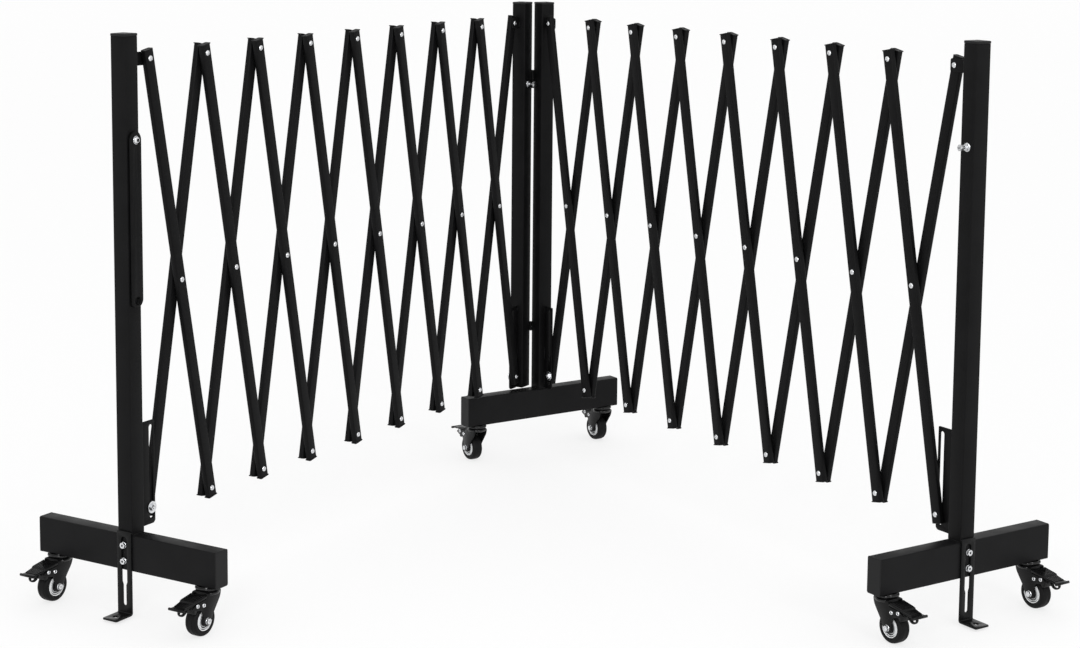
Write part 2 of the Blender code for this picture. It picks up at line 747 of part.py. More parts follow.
def build():
    clear_scene()
    half = radians(90 - HALF_CORNER)
    left_hinge_x = panel_length("left") + HALF_POST + HINGE_AXIS_FROM_FACE
    left = frame("left_panel", turn=half)
    right = frame("right_panel", turn=-half)
    left.location = panel_place(left_hinge_x, half) * MM
    right.location = panel_place(-HALF_POST - HINGE_AXIS_FROM_FACE, -half) * MM
    fronts = {kind: front_bar(kind) for kind in ("first", "middle", "last")}
    rears = {kind: rear_bar(kind) for kind in ("first", "middle", "last")}
    lattice("left", left, fronts, rears, corner_first=False)
    lattice("right", right, fronts, rears, corner_first=True)
    build_posts(left, right)
    build_feet(left, right)
    arm_at = (ARM_SIDE_STEP, 0, STUD_HEIGHT)
    piece("lock_arm", arm_mesh(), SHEET_BLACK, left, arm_at)
    centre_on_floor((left, right))


build()
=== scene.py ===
import json
from math import cos, pi, radians, sin, tau

import bmesh
import bpy
from mathutils import Matrix, Vector


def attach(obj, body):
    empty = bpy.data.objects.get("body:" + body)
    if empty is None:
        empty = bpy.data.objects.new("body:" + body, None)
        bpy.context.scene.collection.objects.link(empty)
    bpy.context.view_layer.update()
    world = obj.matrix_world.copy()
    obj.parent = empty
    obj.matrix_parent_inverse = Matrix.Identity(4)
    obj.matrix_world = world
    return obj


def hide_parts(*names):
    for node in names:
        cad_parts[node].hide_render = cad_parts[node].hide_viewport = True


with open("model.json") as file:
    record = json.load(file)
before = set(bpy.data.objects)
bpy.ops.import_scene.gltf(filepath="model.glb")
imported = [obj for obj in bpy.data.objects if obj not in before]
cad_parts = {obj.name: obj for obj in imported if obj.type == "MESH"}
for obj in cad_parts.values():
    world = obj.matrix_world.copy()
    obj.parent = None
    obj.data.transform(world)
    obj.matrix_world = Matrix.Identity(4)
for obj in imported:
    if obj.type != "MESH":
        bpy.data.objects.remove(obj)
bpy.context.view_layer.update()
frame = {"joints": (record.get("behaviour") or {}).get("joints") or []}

# Everything is in metres. Panel frame: x runs from the panel's left post to its right post,
# y points to the rear of the lattice, z is up.
barrier = {
    "cells": 8,
    "pivotSpan": 0.753,  # between the end pivots of a bar
    "restLean": {"left": 10.83, "right": 11.16},  # degrees, bar from upright
    "cornerOpening": 64.0,  # degrees between the panels
    "postSize": 0.030,
    "postTop": 0.94956,
    "topPivot": 0.90696,
    "endPivot": 0.049,  # from the middle of an end post
    "hingePivot": 0.0325,  # from the middle of a corner post
    "beamTop": 0.1375,
    "onBeamGap": 0.0003,
    "studHeight": 0.78056,
}
halfPost = barrier["postSize"] / 2
halfSpan = barrier["pivotSpan"] / 2
onBeam = barrier["beamTop"] + barrier["onBeamGap"]


def leanOf(side):
    return radians(barrier["restLean"][side])


def pivotX(side, index):
    first = barrier["endPivot"] if side == "left" else barrier["hingePivot"]
    return first + index * barrier["pivotSpan"] * sin(leanOf(side))


def panelLength(side):
    last = barrier["hingePivot"] if side == "left" else barrier["endPivot"]
    return pivotX(side, barrier["cells"]) + last


def along(x=0.0, y=0.0, z=0.0):
    return Matrix.Translation((x, y, z))


def spin(degrees, axis):
    return Matrix.Rotation(radians(degrees), 4, axis)


# These turn a shape made along z so that it points to the front (-y) or to the rear (+y).
toFront = spin(90, "X")
toRear = spin(-90, "X")


# Small mesh tools

def newObject(name, data):
    thing = bpy.data.objects.new(name, data)
    bpy.context.scene.collection.objects.link(thing)
    return thing


# Mesh that an object shows, with its modifiers or its curve's thickness.
def finalMesh(thing):
    graph = bpy.context.evaluated_depsgraph_get()
    return bpy.data.meshes.new_from_object(thing.evaluated_get(graph))


# Smooth faces, with a sharp edge wherever two meet at more than the angle in degrees.
def smoothed(mesh, angle):
    mesh.shade_smooth()
    mesh.set_sharp_from_angle(angle=radians(angle))
    return mesh


def meshFromShape(shape, smoothAngle=40):
    bmesh.ops.recalc_face_normals(shape, faces=shape.faces)
    mesh = bpy.data.meshes.new("shape")
    shape.to_mesh(mesh)
    shape.free()
    return smoothed(mesh, smoothAngle)


def skinLoops(loops, closed=False, capped=False, smoothAngle=40):
    shape = bmesh.new()
    rings = [[shape.verts.new(point) for point in loop] for loop in loops]
    pairs = list(zip(rings, rings[1:]))
    if closed:
        pairs.append((rings[-1], rings[0]))
    for here, there in pairs:
        for index in range(len(here)):
            after = (index + 1) % len(here)
            shape.faces.new((here[index], here[after], there[after], there[index]))
    if capped:
        shape.faces.new(rings[0])
        shape.faces.new(rings[-1])
    return meshFromShape(shape, smoothAngle)


def roundedRect(width, depth, radius, steps=4):
    points = []
    corners = ((1, 1, 0), (-1, 1, 90), (-1, -1, 180), (1, -1, 270))
    for signX, signY, start in corners:
        for step in range(steps + 1):
            turn = radians(start + 90 * step / steps)
            x = signX * (width / 2 - radius) + radius * cos(turn)
            y = signY * (depth / 2 - radius) + radius * sin(turn)
            points.append((x, y))
    return points


# Open tube along z with rounded corners and a slightly broken edge at each end.
def rectTube(width, depth, wall, radius, low, high):
    edge = 0.0004
    inner = max(radius - wall, edge)
    stages = []
    for inset, z in ((edge, low), (0, low + edge), (0, high - edge), (edge, high)):
        outline = roundedRect(width - 2 * inset, depth - 2 * inset, radius - inset / 2)
        stages.append([(x, y, z) for x, y in outline])
    for z in (high, low):
        outline = roundedRect(width - 2 * wall, depth - 2 * wall, inner)
        stages.append([(x, y, z) for x, y in outline])
    return skinLoops(stages, closed=True)


# Moulding along z from rows of (growth of the outline, height, share of the corner radius).
def moulding(width, depth, radius, rows):
    stages = []
    for grow, z, bend in rows:
        outline = roundedRect(width + grow, depth + grow, radius * bend)
        stages.append([(x, y, z) for x, y in outline])
    return skinLoops(stages, capped=True, smoothAngle=50)


# Turned shape around z from (radius, height) points; a radius of zero closes it.
def lathe(profile, segments=32, smoothAngle=40):
    shape = bmesh.new()
    rings = []
    for radius, height in profile:
        if radius <= 0:
            rings.append([shape.verts.new((0, 0, height))])
            continue
        ring = []
        for step in range(segments):
            turn = tau * step / segments
            ring.append(shape.verts.new((radius * cos(turn), radius * sin(turn), height)))
        rings.append(ring)
    for here, there in zip(rings, rings[1:]):
        for step in range(segments):
            after = (step + 1) % segments
            corners = [here[step % len(here)], here[after % len(here)]]
            corners += [there[after % len(there)], there[step % len(there)]]
            faceCorners = list(dict.fromkeys(corners))
            if len(faceCorners) > 2:
                shape.faces.new(faceCorners)
    return meshFromShape(shape, smoothAngle)


# Flat sheet with holes and softly rounded edges, drawn in x and z, its thickness along y.
def cutSheet(outer, holes, yMiddle, thickness, edge=0.0004):
    curve = bpy.data.curves.new("sheet", "CURVE")
    curve.dimensions = "2D"
    curve.fill_mode = "BOTH"
    curve.extrude = thickness / 2 - edge
    curve.bevel_depth = edge
    curve.bevel_resolution = 1
    curve.offset = -edge
    for outline in [outer] + list(holes):
        spline = curve.splines.new("POLY")
        spline.points.add(len(outline) - 1)
        for point, (x, z) in zip(spline.points, outline):
            point.co = (x, z, 0, 1)
        spline.use_cyclic_u = True
    carrier = newObject("sheet", curve)
    mesh = finalMesh(carrier)
    bpy.data.objects.remove(carrier)
    bpy.data.curves.remove(curve)
    mesh.transform(along(y=yMiddle) @ toFront)
    shape = bmesh.new()
    shape.from_mesh(mesh)
    samePoint = 0.00001
    bmesh.ops.remove_doubles(shape, verts=shape.verts, dist=samePoint)
    shape.to_mesh(mesh)
    shape.free()
    return smoothed(mesh, 50)


def softCorners(points, radius, steps=5):
    rounded = []
    count = len(points)
    mostOfSide = 0.45
    for index in range(count):
        before = Vector(points[index - 1])
        corner = Vector(points[index])
        after = Vector(points[(index + 1) % count])
        toBefore = before - corner
        toAfter = after - corner
        reach = min(radius, toBefore.length * mostOfSide, toAfter.length * mostOfSide)
        start = corner + toBefore.normalized() * reach
        end = corner + toAfter.normalized() * reach
        for step in range(steps + 1):
            t = step / steps
            point = start * (1 - t) ** 2 + corner * 2 * t * (1 - t) + end * t ** 2
            rounded.append(tuple(point))
    return rounded


def circleOf(x, z, radius, steps=24, stretch=1.0):
    wide = radius * stretch
    turns = [tau * step / steps for step in range(steps)]
    return [(x + wide * cos(turn), z + radius * sin(turn)) for turn in turns]


# Points of an arc about (x, z); a negative radius puts it on the other side of that middle.
def arcOf(x, z, radius, start, stop, steps):
    turns = [start + (stop - start) * step / steps for step in range(steps + 1)]
    return [(x + radius * cos(turn), z + radius * sin(turn)) for turn in turns]


def joinMeshes(meshes):
    shape = bmesh.new()
    for mesh in meshes:
        shape.from_mesh(mesh)
    whole = bpy.data.meshes.new("shape")
    shape.to_mesh(whole)
    shape.free()
    return whole


def changed(mesh, matrix):
    copy = mesh.copy()
    copy.transform(matrix)
    return copy


# What is inside both of two closed shapes.
def commonPart(first, second):
    holder = newObject("first", first)
    helper = newObject("second", second)
    step = holder.modifiers.new("step", "BOOLEAN")
    step.operation = "INTERSECT"
    step.solver = "EXACT"
    step.object = helper
    result = finalMesh(holder)
    bpy.data.objects.remove(holder)
    bpy.data.objects.remove(helper)
    return result


def bevelled(mesh, width):
    holder = newObject("body", mesh)
    step = holder.modifiers.new("step", "BEVEL")
    step.width = width
    step.segments = 2
    step.limit_method = "ANGLE"
    step.angle_limit = radians(35)
    result = finalMesh(holder)
    bpy.data.objects.remove(holder)
    return smoothed(result, 50)


# Finishes

# Adds a shader node, sets its inputs and links others to the outputs of earlier nodes.
def newNode(tree, kind, values={}, links={}):
    node = tree.nodes.new("ShaderNode" + kind)
    for socket, value in values.items():
        node.inputs[socket].default_value = value
    for socket, output in links.items():
        tree.links.new(output, node.inputs[socket])
    return node


def newFinish(name, roughness, metallic=0.0, specular=0.5):
    material = bpy.data.materials.new(name)
    material.use_nodes = True
    tree = material.node_tree
    shader = tree.nodes["Principled BSDF"]
    shader.inputs["Roughness"].default_value = roughness
    shader.inputs["Metallic"].default_value = metallic
    shader.inputs["Specular IOR Level"].default_value = specular
    return material, tree, shader


def grain(tree, scale, detail, roughness=0.5):
    place = newNode(tree, "TexCoord")
    values = {"Scale": scale, "Detail": detail, "Roughness": roughness}
    pattern = newNode(tree, "TexNoise", values, {"Vector": place.outputs["Object"]})
    return pattern.outputs["Fac"]


# Brings a grain, which lies mostly between 0.3 and 0.7, to the range from low to high.
def spread(tree, value, low, high):
    values = {"From Min": 0.3, "From Max": 0.7, "To Min": low, "To Max": high}
    return newNode(tree, "MapRange", values, {"Value": value}).outputs["Result"]


def twoTone(tree, shader, value, dark, light):
    mix = newNode(tree, "Mix")
    mix.data_type = "RGBA"
    mix.inputs["A"].default_value = (*dark, 1)
    mix.inputs["B"].default_value = (*light, 1)
    tree.links.new(value, mix.inputs["Factor"])
    tree.links.new(mix.outputs["Result"], shader.inputs["Base Color"])


def relief(tree, shader, layers):
    normal = None
    for value, distance, strength in layers:
        links = {"Height": value}
        if normal is not None:
            links["Normal"] = normal
        bump = newNode(tree, "Bump", {"Distance": distance, "Strength": strength}, links)
        normal = bump.outputs["Normal"]
    tree.links.new(normal, shader.inputs["Normal"])


# Coat, plastic or rubber: a cloudy tone and gloss, with an uneven skin and a fine grain on it.
def grainyFinish(name, settings):
    material, tree, shader = newFinish(name, 0.5, specular=settings["specular"])
    cloud = grain(tree, settings["cloudScale"], 3.0)
    peel = grain(tree, settings["peelScale"], 2.0)
    fine = grain(tree, settings["fineScale"], 1.0)
    twoTone(tree, shader, spread(tree, cloud, 0, 1), settings["dark"], settings["light"])
    rough = spread(tree, cloud, settings["smooth"], settings["rough"])
    tree.links.new(rough, shader.inputs["Roughness"])
    relief(tree, shader, ((peel, 0.0002, settings["peel"]), (fine, 0.00006, settings["peel"])))
    return material


def brightMetal(name, settings):
    material, tree, shader = newFinish(name, 0.25, metallic=1.0)
    cloud = grain(tree, settings["cloudScale"], 3.0)
    scratch = grain(tree, settings["scratchScale"], 4.0, 0.7)
    twoTone(tree, shader, spread(tree, cloud, 0, 1), settings["dark"], settings["light"])
    rough = spread(tree, scratch, settings["smooth"], settings["rough"])
    tree.links.new(rough, shader.inputs["Roughness"])
    relief(tree, shader, ((scratch, 0.00005, 0.3),))
    return material


powderCoat = {
    "dark": (0.0036, 0.0036, 0.0038),
    "light": (0.0054, 0.0054, 0.0057),
    "smooth": 0.40,
    "rough": 0.52,
    "specular": 0.08,
    "cloudScale": 26.0,
    "peelScale": 420.0,
    "fineScale": 1500.0,
    "peel": 0.22,
}
# The same satin black powder coat in a lighter tone for the foot beams: painted light, brighter than the
# posts' coat to stand in for the light their faces catch.
beamCoatPaintedLighter = {
    **powderCoat,
    "dark": (0.0052, 0.0052, 0.0055),
    "light": (0.0074, 0.0074, 0.0078),
    "specular": 0.09,
    "cloudScale": 22.0,
}
pressedCoat = {
    "dark": (0.0028, 0.0028, 0.0030),
    "light": (0.0046, 0.0046, 0.0049),
    "smooth": 0.22,
    "rough": 0.34,
    "specular": 0.15,
    "cloudScale": 60.0,
    "peelScale": 700.0,
    "fineScale": 2400.0,
    "peel": 0.16,
}
glossCoat = {
    "dark": (0.0040, 0.0040, 0.0042),
    "light": (0.0060, 0.0060, 0.0063),
    "smooth": 0.12,
    "rough": 0.20,
    "specular": 0.36,
    "cloudScale": 80.0,
    "peelScale": 900.0,
    "fineScale": 2800.0,
    "peel": 0.08,
}
plugPlastic = {
    "dark": (0.0060, 0.0060, 0.0063),
    "light": (0.0095, 0.0095, 0.0100),
    "smooth": 0.46,
    "rough": 0.60,
    "specular": 0.18,
    "cloudScale": 90.0,
    "peelScale": 1600.0,
    "fineScale": 3600.0,
    "peel": 0.30,
}
tyreRubber = {
    "dark": (0.0032, 0.0032, 0.0034),
    "light": (0.0060, 0.0060, 0.0063),
    "smooth": 0.46,
    "rough": 0.66,
    "specular": 0.13,
    "cloudScale": 120.0,
    "peelScale": 1300.0,
    "fineScale": 4200.0,
    "peel": 0.35,
}
greyHub = {
    "dark": (0.40, 0.41, 0.42),
    "light": (0.50, 0.51, 0.52),
    "smooth": 0.35,
    "rough": 0.5,
    "specular": 0.4,
    "cloudScale": 150.0,
    "peelScale": 900.0,
    "fineScale": 3000.0,
    "peel": 0.15,
}
paleRim = {
    **greyHub,
    "dark": (0.82, 0.83, 0.84),
    "light": (0.90, 0.91, 0.92),
    "smooth": 0.30,
    "rough": 0.44,
    "specular": 0.5,
    "peel": 0.12,
}
zincPlate = {
    "dark": (0.60, 0.61, 0.63),
    "light": (0.82, 0.83, 0.84),
    "smooth": 0.16,
    "rough": 0.34,
    "cloudScale": 220.0,
    "scratchScale": 1800.0,
}
finishes = {
    "powder": grainyFinish("satin black powder coat", powderCoat),
    "beam": grainyFinish("satin black powder coat on the feet, painted lighter", beamCoatPaintedLighter),
    "pressed": grainyFinish("semi-gloss black on pressed steel", pressedCoat),
    "plug": grainyFinish("matte black moulded plastic", plugPlastic),
    "tyre": grainyFinish("matte black tyre", tyreRubber),
    "zinc": brightMetal("bright zinc plate", zincPlate),
    "hub": grainyFinish("grey moulded hub", greyHub),
    "rim": grainyFinish("pale moulded wheel rim", paleRim),
    "gloss": grainyFinish("gloss black on turned and folded steel", glossCoat),
}
print("finishes ready:", ", ".join(finishes))


def addPiece(name, mesh, finish, body, place, replaces=()):
    piece = newObject(name, mesh.copy())
    piece.matrix_world = place
    piece.data.materials.clear()
    piece.data.materials.append(finishes[finish])
    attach(piece, body)
    if replaces:
        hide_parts(*replaces)


# Where the panels stand, from the joints that carry their lattices

def panelPlace(jointName, turn, xOnPanel):
    joint = next(joint for joint in frame["joints"] if joint["name"] == jointName)
    rotation = Matrix.Rotation(turn, 4, "Z")
    corner = Vector(joint["pos_m"]) - rotation @ Vector((xOnPanel, 0, 0))
    corner.z = 0
    return Matrix.Translation(corner) @ rotation


halfTurn = radians(90 - barrier["cornerOpening"] / 2)
panels = {
    "left": panelPlace("left_panel_extend", halfTurn, pivotX("left", barrier["cells"])),
    "right": panelPlace("right_panel_extend", -halfTurn, pivotX("right", 0)),
}


# Fasteners
rivet = {
    "headRadius": 0.0048,
    "headHeight": 0.0021,
    "dome": ((0.62, 0.93), (0.84, 0.66), (0.97, 0.28)),  # shares of the head's radius and height
    "dimple": 0.0016,
    "dimpleDepth": 0.0005,
    "shankRadius": 0.0025,
    "rearHead": 0.86,  # height of the head at the rear, as a share
    "rearGap": 0.0003,
}


# Head of a rivet, its seat at z = 0 and its dome upwards.
def rivetHead():
    r = rivet["headRadius"]
    h = rivet["headHeight"]
    d = rivet["dimple"]
    profile = [(0, h - rivet["dimpleDepth"]), (d * 0.7, h - 0.00045), (d, h - 0.0001), (d * 1.35, h)]
    profile += [(r * outward, h * upward) for outward, upward in rivet["dome"]]
    profile += [(r, 0.0001), (r * 0.97, -0.0001)]
    return lathe(profile, 24, 60)


def shank(radius, low, high):
    return lathe([(0, low), (radius, low), (radius, high), (0, high)], 16)


# Hexagon nut with chamfered corners, its seat at z = 0, and the bolt's end standing out of it.
def hexNut(acrossFlats, height, boltRadius, stand=0.0012):
    cornerRadius = acrossFlats / 2 / cos(pi / 6)
    prism = lathe([(0, 0), (cornerRadius, 0), (cornerRadius, height), (0, height)], 6, 20)
    chamfer = 0.0011
    chamferTop = acrossFlats / 2 * 1.02 * 0.98
    outside = cornerRadius * 1.1
    cap = [(0, -0.001), (outside, -0.001), (outside, height - chamfer)]
    cap += [(chamferTop, height + 0.0001), (0, height + 0.0001)]
    nut = smoothed(commonPart(prism, lathe(cap, 32, 20)), 25)
    top = height + stand
    edge = 0.0005
    thread = [(0, top), (boltRadius - edge, top), (boltRadius, top - edge), (boltRadius, height - 0.0006)]
    return joinMeshes([nut, lathe(thread, 20, 50)])


def flatWasher(outerRadius, innerRadius, thickness):
    edge = thickness * 0.2
    profile = [(innerRadius, 0), (outerRadius - edge, 0), (outerRadius, edge)]
    profile += [(outerRadius, thickness - edge), (outerRadius - edge, thickness)]
    profile += [(innerRadius, thickness), (innerRadius, 0)]
    return lathe(profile, 36, 30)


# Painted shade of the hexagon socket in a bolt's head: a dark hexagon a hair above the head's top face, in
# place of the shaded recess.
def paintedSocketShade(radius):
    proud = 0.0001
    deep = 0.0004
    return lathe([(0, proud), (radius - 0.0002, proud), (radius, -deep), (0, -deep)], 6, 20)


# Lattice bars
bar = {
    "width": 0.020,
    "depth": 0.010,
    "wall": 0.001,
    "cornerRadius": 0.0021,
    "overhang": 0.014,
    "layerMiddle": 0.00655,  # from the lattice's middle plane
    "plugStand": 0.0016,
    "plugLip": 0.0011,
    "slimStand": 0.0012,
    "slimLip": 0.0001,
}
barOutside = bar["layerMiddle"] + bar["depth"] / 2
tubeReach = halfSpan + bar["overhang"]
barTube = rectTube(bar["width"], bar["depth"], bar["wall"], bar["cornerRadius"], -tubeReach, tubeReach)


# End plug: a spigot in the tube, a lip over the tube's edge and a dished top.
def endPlug(lip, stand):
    spigot = -2 * 0.0008
    rows = (
        (spigot, -0.002, 0.8),
        (spigot, 0.0, 0.8),
        (2 * lip * 0.8, 0.0, 1.0),
        (2 * lip, 0.0004, 1.1),
        (2 * lip, stand - 0.0006, 1.1),
        (2 * lip * 0.55, stand, 1.0),
        (-2 * 0.0012, stand, 0.9),
        (-2 * 0.0022, stand - 0.0007, 0.7),
    )
    return moulding(bar["width"], bar["depth"], bar["cornerRadius"], rows)


def plugPair(top, bottom):
    topPlug = changed(top, along(z=tubeReach))
    return joinMeshes([topPlug, changed(bottom, along(z=-tubeReach) @ spin(180, "X"))])


# The ends that turn beside a post have slim plugs, so that they clear it when the panel is spread.
flaredPlug = endPlug(bar["plugLip"], bar["plugStand"])
slimPlug = endPlug(bar["slimLip"], bar["slimStand"])
flaredPair = plugPair(flaredPlug, flaredPlug)
slimTop = plugPair(slimPlug, flaredPlug)
slimBottom = plugPair(flaredPlug, slimPlug)

spacer = {"radius": 0.0065, "reach": 0.00125}
slotPin = {
    "radius": 0.0035,
    "seat": 0.00155,  # washer's face, from the lattice's middle plane
    "intoNut": 0.003,
    "washerRadius": 0.0100,
    "washer": 0.0015,
    "nutAcross": 0.0107,
    "nut": 0.0036,
    "threadRadius": 0.003,
}


def pinStack():
    washer = flatWasher(slotPin["washerRadius"], slotPin["radius"], slotPin["washer"])
    nut = hexNut(slotPin["nutAcross"], slotPin["nut"], slotPin["threadRadius"])
    return joinMeshes([washer, changed(nut, along(z=slotPin["washer"]))])


def rearHead(y, z):
    return changed(rivetHead(), along(0, y, z) @ toRear @ Matrix.Scale(rivet["rearHead"], 4, (0, 0, 1)))


# Rivets of a front bar, with heads on both faces of the crossing, or a slot pin at one end.
def frontFasteners(kind):
    meshes = []
    front = -barOutside
    seat = slotPin["seat"]
    for z in (halfSpan, 0, -halfSpan):
        meshes.append(changed(rivetHead(), along(0, front, z) @ toFront))
        if kind == "last" and z < 0:
            pin = shank(slotPin["radius"], front, seat + slotPin["intoNut"])
            meshes.append(changed(pin, along(z=z) @ toRear))
            meshes.append(changed(pinStack(), along(0, seat, z) @ toRear))
            continue
        back = seat if kind == "first" and z > 0 else barOutside + rivet["rearGap"]
        meshes.append(rearHead(back, z))
        meshes.append(changed(shank(rivet["shankRadius"], front, back), along(z=z) @ toRear))
    return joinMeshes(meshes)


def rearFasteners(kind):
    front = -slotPin["seat"]
    if kind == "first":
        z = -halfSpan
        meshes = [changed(pinStack(), along(0, front, z) @ toFront)]
        pin = shank(slotPin["radius"], front - slotPin["intoNut"], barOutside)
    else:
        z = halfSpan
        meshes = [changed(rivetHead(), along(0, front, z) @ toFront)]
        pin = shank(rivet["shankRadius"], front, barOutside)
    meshes.append(changed(pin, along(z=z) @ toRear))
    meshes.append(rearHead(barOutside, z))
    return joinMeshes(meshes)


def barSpacers(kind):
    disc = flatWasher(spacer["radius"], rivet["shankRadius"], 2 * spacer["reach"])
    meshes = []
    for z in (halfSpan, 0, -halfSpan):
        if (kind == "first" and z > 0) or (kind == "last" and z < 0):
            continue
        meshes.append(changed(disc, along(0, -spacer["reach"], z) @ toRear))
    return joinMeshes(meshes)


def kindOf(number):
    if number == 0:
        return "first"
    return "last" if number == barrier["cells"] - 1 else "middle"


kinds = ("first", "middle", "last")
spacers = {kind: barSpacers(kind) for kind in kinds}
barLayers = (
    {
        "name": "Front",
        "side": -1,
        "plugs": {"first": slimTop, "middle": flaredPair, "last": slimBottom},
        "rivets": {kind: frontFasteners(kind) for kind in kinds},
    },
    {
        "name": "Rear",
        "side": 1,
        "plugs": {"first": slimBottom, "middle": flaredPair, "last": slimTop},
        "rivets": {kind: rearFasteners(kind) for kind in ("first", "last")},
    },
)


def buildLattice(side, panel):
    lean = leanOf(side)
    middleHeight = barrier["topPivot"] - halfSpan * cos(lean)
    for number in range(barrier["cells"]):
        kind = kindOf(number)
        centre = panel @ along(pivotX(side, number + 0.5), 0, middleHeight)
        for layer in barLayers:
            name = side + layer["name"] + str(number + 1)
            body = side + "_" + layer["name"].lower() + "_bar_" + str(number + 1)
            place = centre @ Matrix.Rotation(layer["side"] * lean, 4, "Y")
            inLayer = place @ along(y=layer["side"] * bar["layerMiddle"])
            addPiece(name + "Bar", barTube, "powder", body, inLayer, [body])
            addPiece(name + "Plugs", layer["plugs"][kind], "plug", body, inLayer)
            if kind in layer["rivets"]:
                addPiece(name + "Rivets", layer["rivets"][kind], "zinc", body, place)
            if layer["name"] == "Front":
                addPiece(name + "Spacers", spacers[kind], "plug", body, place)


for side, panel in panels.items():
    buildLattice(side, panel)
print("lattice bars, plugs and rivets placed")


# Posts
post = {
    "wall": 0.0015,
    "cornerRadius": 0.0016,
    "capThickness": 0.0042,
    "capGap": 0.0005,  # shadow line under the cap
    "plate": 0.0025,  # thickness of the tab and the bracket
    "plateSunk": 0.0002,  # how far they go into the post's face
    "platePastPivot": 0.009,
    "tabHeight": 0.022,
    "tabCorner": 0.004,
    "tabHole": 0.0029,
    "bracketLow": 0.1398,
    "bracketHigh": 0.3137,
    "bracketCut": 0.004,
    "bracketCorner": 0.002,
    "slotLow": 0.1493,
    "slotHigh": 0.3067,
    "slotWidth": 0.009,
    "weldRadius": 0.0016,
    "weldRipple": 0.0016,
}


# Cap that stands a hair proud of the tube, over a shadow line.
def postCap():
    size = barrier["postSize"]
    top = barrier["postTop"]
    low = top - post["capThickness"]
    rows = (
        (-0.0016, low - 0.004, 0.8),
        (-0.0016, low, 0.8),
        (0.0004, low, 1.0),
        (0.0007, low + 0.0004, 1.0),
        (0.0007, top - 0.0009, 1.0),
        (0.0001, top - 0.0003, 1.1),
        (-0.0016, top, 1.1),
    )
    return moulding(size, size, post["cornerRadius"], rows)


# A run of weld, thick and thin by turns, from z low to high at a point of the plan.
def weldBead(x, y, low, high):
    count = max(6, int((high - low) / post["weldRipple"]))
    loops = []
    for step in range(count + 1):
        z = low + (high - low) * step / count
        swell = post["weldRadius"] * (1 + 0.13 * sin(step * 1.9) + 0.06 * sin(step * 0.7))
        if step in (0, count):
            swell *= 0.35
        loops.append([(alongX, alongY, z) for alongX, alongY in circleOf(x, y, swell, 8)])
    return skinLoops(loops, capped=True, smoothAngle=60)


# Plate in the middle plane of the post, on the side where its panel is.
def postPlate(facing, outline, hole):
    outline = [(facing * x, z) for x, z in outline]
    hole = [(facing * x, z) for x, z in hole]
    return cutSheet(outline, [hole], 0, post["plate"])


def tabSheet(facing, pivot):
    start = halfPost - post["plateSunk"]
    end = pivot + post["platePastPivot"]
    low = barrier["topPivot"] - post["tabHeight"] / 2
    high = barrier["topPivot"] + post["tabHeight"] / 2
    rounded = softCorners([(end, low), (end, high), (start, high), (start, low)], post["tabCorner"])
    outerCorners = rounded[:len(rounded) // 2]
    outline = [(start, low)] + outerCorners + [(start, high)]
    return postPlate(facing, outline, circleOf(pivot, barrier["topPivot"], post["tabHole"]))


def bracketSheet(facing, pivot):
    start = halfPost - post["plateSunk"]
    end = pivot + post["platePastPivot"]
    low = post["bracketLow"]
    high = post["bracketHigh"]
    cut = post["bracketCut"]
    corners = [(start, low), (end - cut, low), (end, low + cut), (end, high), (start, high)]
    half = post["slotWidth"] / 2
    slotHole = arcOf(pivot, post["slotHigh"] - half, half, 0, pi, 10)
    slotHole += arcOf(pivot, post["slotLow"] + half, -half, 0, pi, 10)
    return postPlate(facing, softCorners(corners, post["bracketCorner"]), slotHole)


def postWelds(facing):
    x = facing * (halfPost + 0.0003)
    tabLow = barrier["topPivot"] - post["tabHeight"] / 2 + 0.0015
    tabHigh = barrier["topPivot"] + 0.0025  # no higher, so that the bars' end plugs clear it
    bracketWelds = (
        # lowest point, length
        (post["bracketLow"] + 0.004, 0.028),
        (0.200, 0.026),
        (post["bracketHigh"] - 0.012, 0.009),
    )
    beads = []
    for y in (-post["plate"] / 2 - 0.0004, post["plate"] / 2 + 0.0004):
        beads.append(weldBead(x, y, tabLow, tabHigh))
        for low, length in bracketWelds:
            beads.append(weldBead(x, y, low, low + length))
    return joinMeshes(beads)


stud = {
    "radius": 0.003,
    "reach": 0.017,
    "neckThinner": 0.0002,
    "nutAcross": 0.0100,
    "nut": 0.0044,
    "washerRadius": 0.0072,
    "washer": 0.001,
}


# Lock stud: washer and nut at the post's face, a bare neck, and a nut at the tip.
def lockStud():
    washer = flatWasher(stud["washerRadius"], stud["radius"], stud["washer"])
    baseNut = hexNut(stud["nutAcross"], stud["nut"] - stud["washer"], stud["radius"], 0.0)
    tipNut = hexNut(stud["nutAcross"], stud["nut"], stud["radius"], 0.0)
    neck = shank(stud["radius"] - stud["neckThinner"], 0, stud["reach"] - stud["washer"])
    meshes = [washer, changed(baseNut, along(z=stud["washer"])), neck]
    meshes.append(changed(tipNut, along(z=stud["reach"] - stud["nut"])))
    return changed(joinMeshes(meshes), along(0, -halfPost, barrier["studHeight"]) @ toFront)


def buildPost(name, node, body, place, facing, pivot, bottom):
    size = barrier["postSize"]
    tubeTop = barrier["postTop"] - post["capThickness"] - post["capGap"]
    tube = rectTube(size, size, post["wall"], post["cornerRadius"], bottom, tubeTop)
    addPiece(name + "Tube", tube, "powder", body, place, [node])
    addPiece(name + "Cap", postCap(), "plug", body, place)
    addPiece(name + "Tab", tabSheet(facing, pivot), "powder", body, place)
    addPiece(name + "Bracket", bracketSheet(facing, pivot), "powder", body, place)
    addPiece(name + "Welds", postWelds(facing), "powder", body, place)


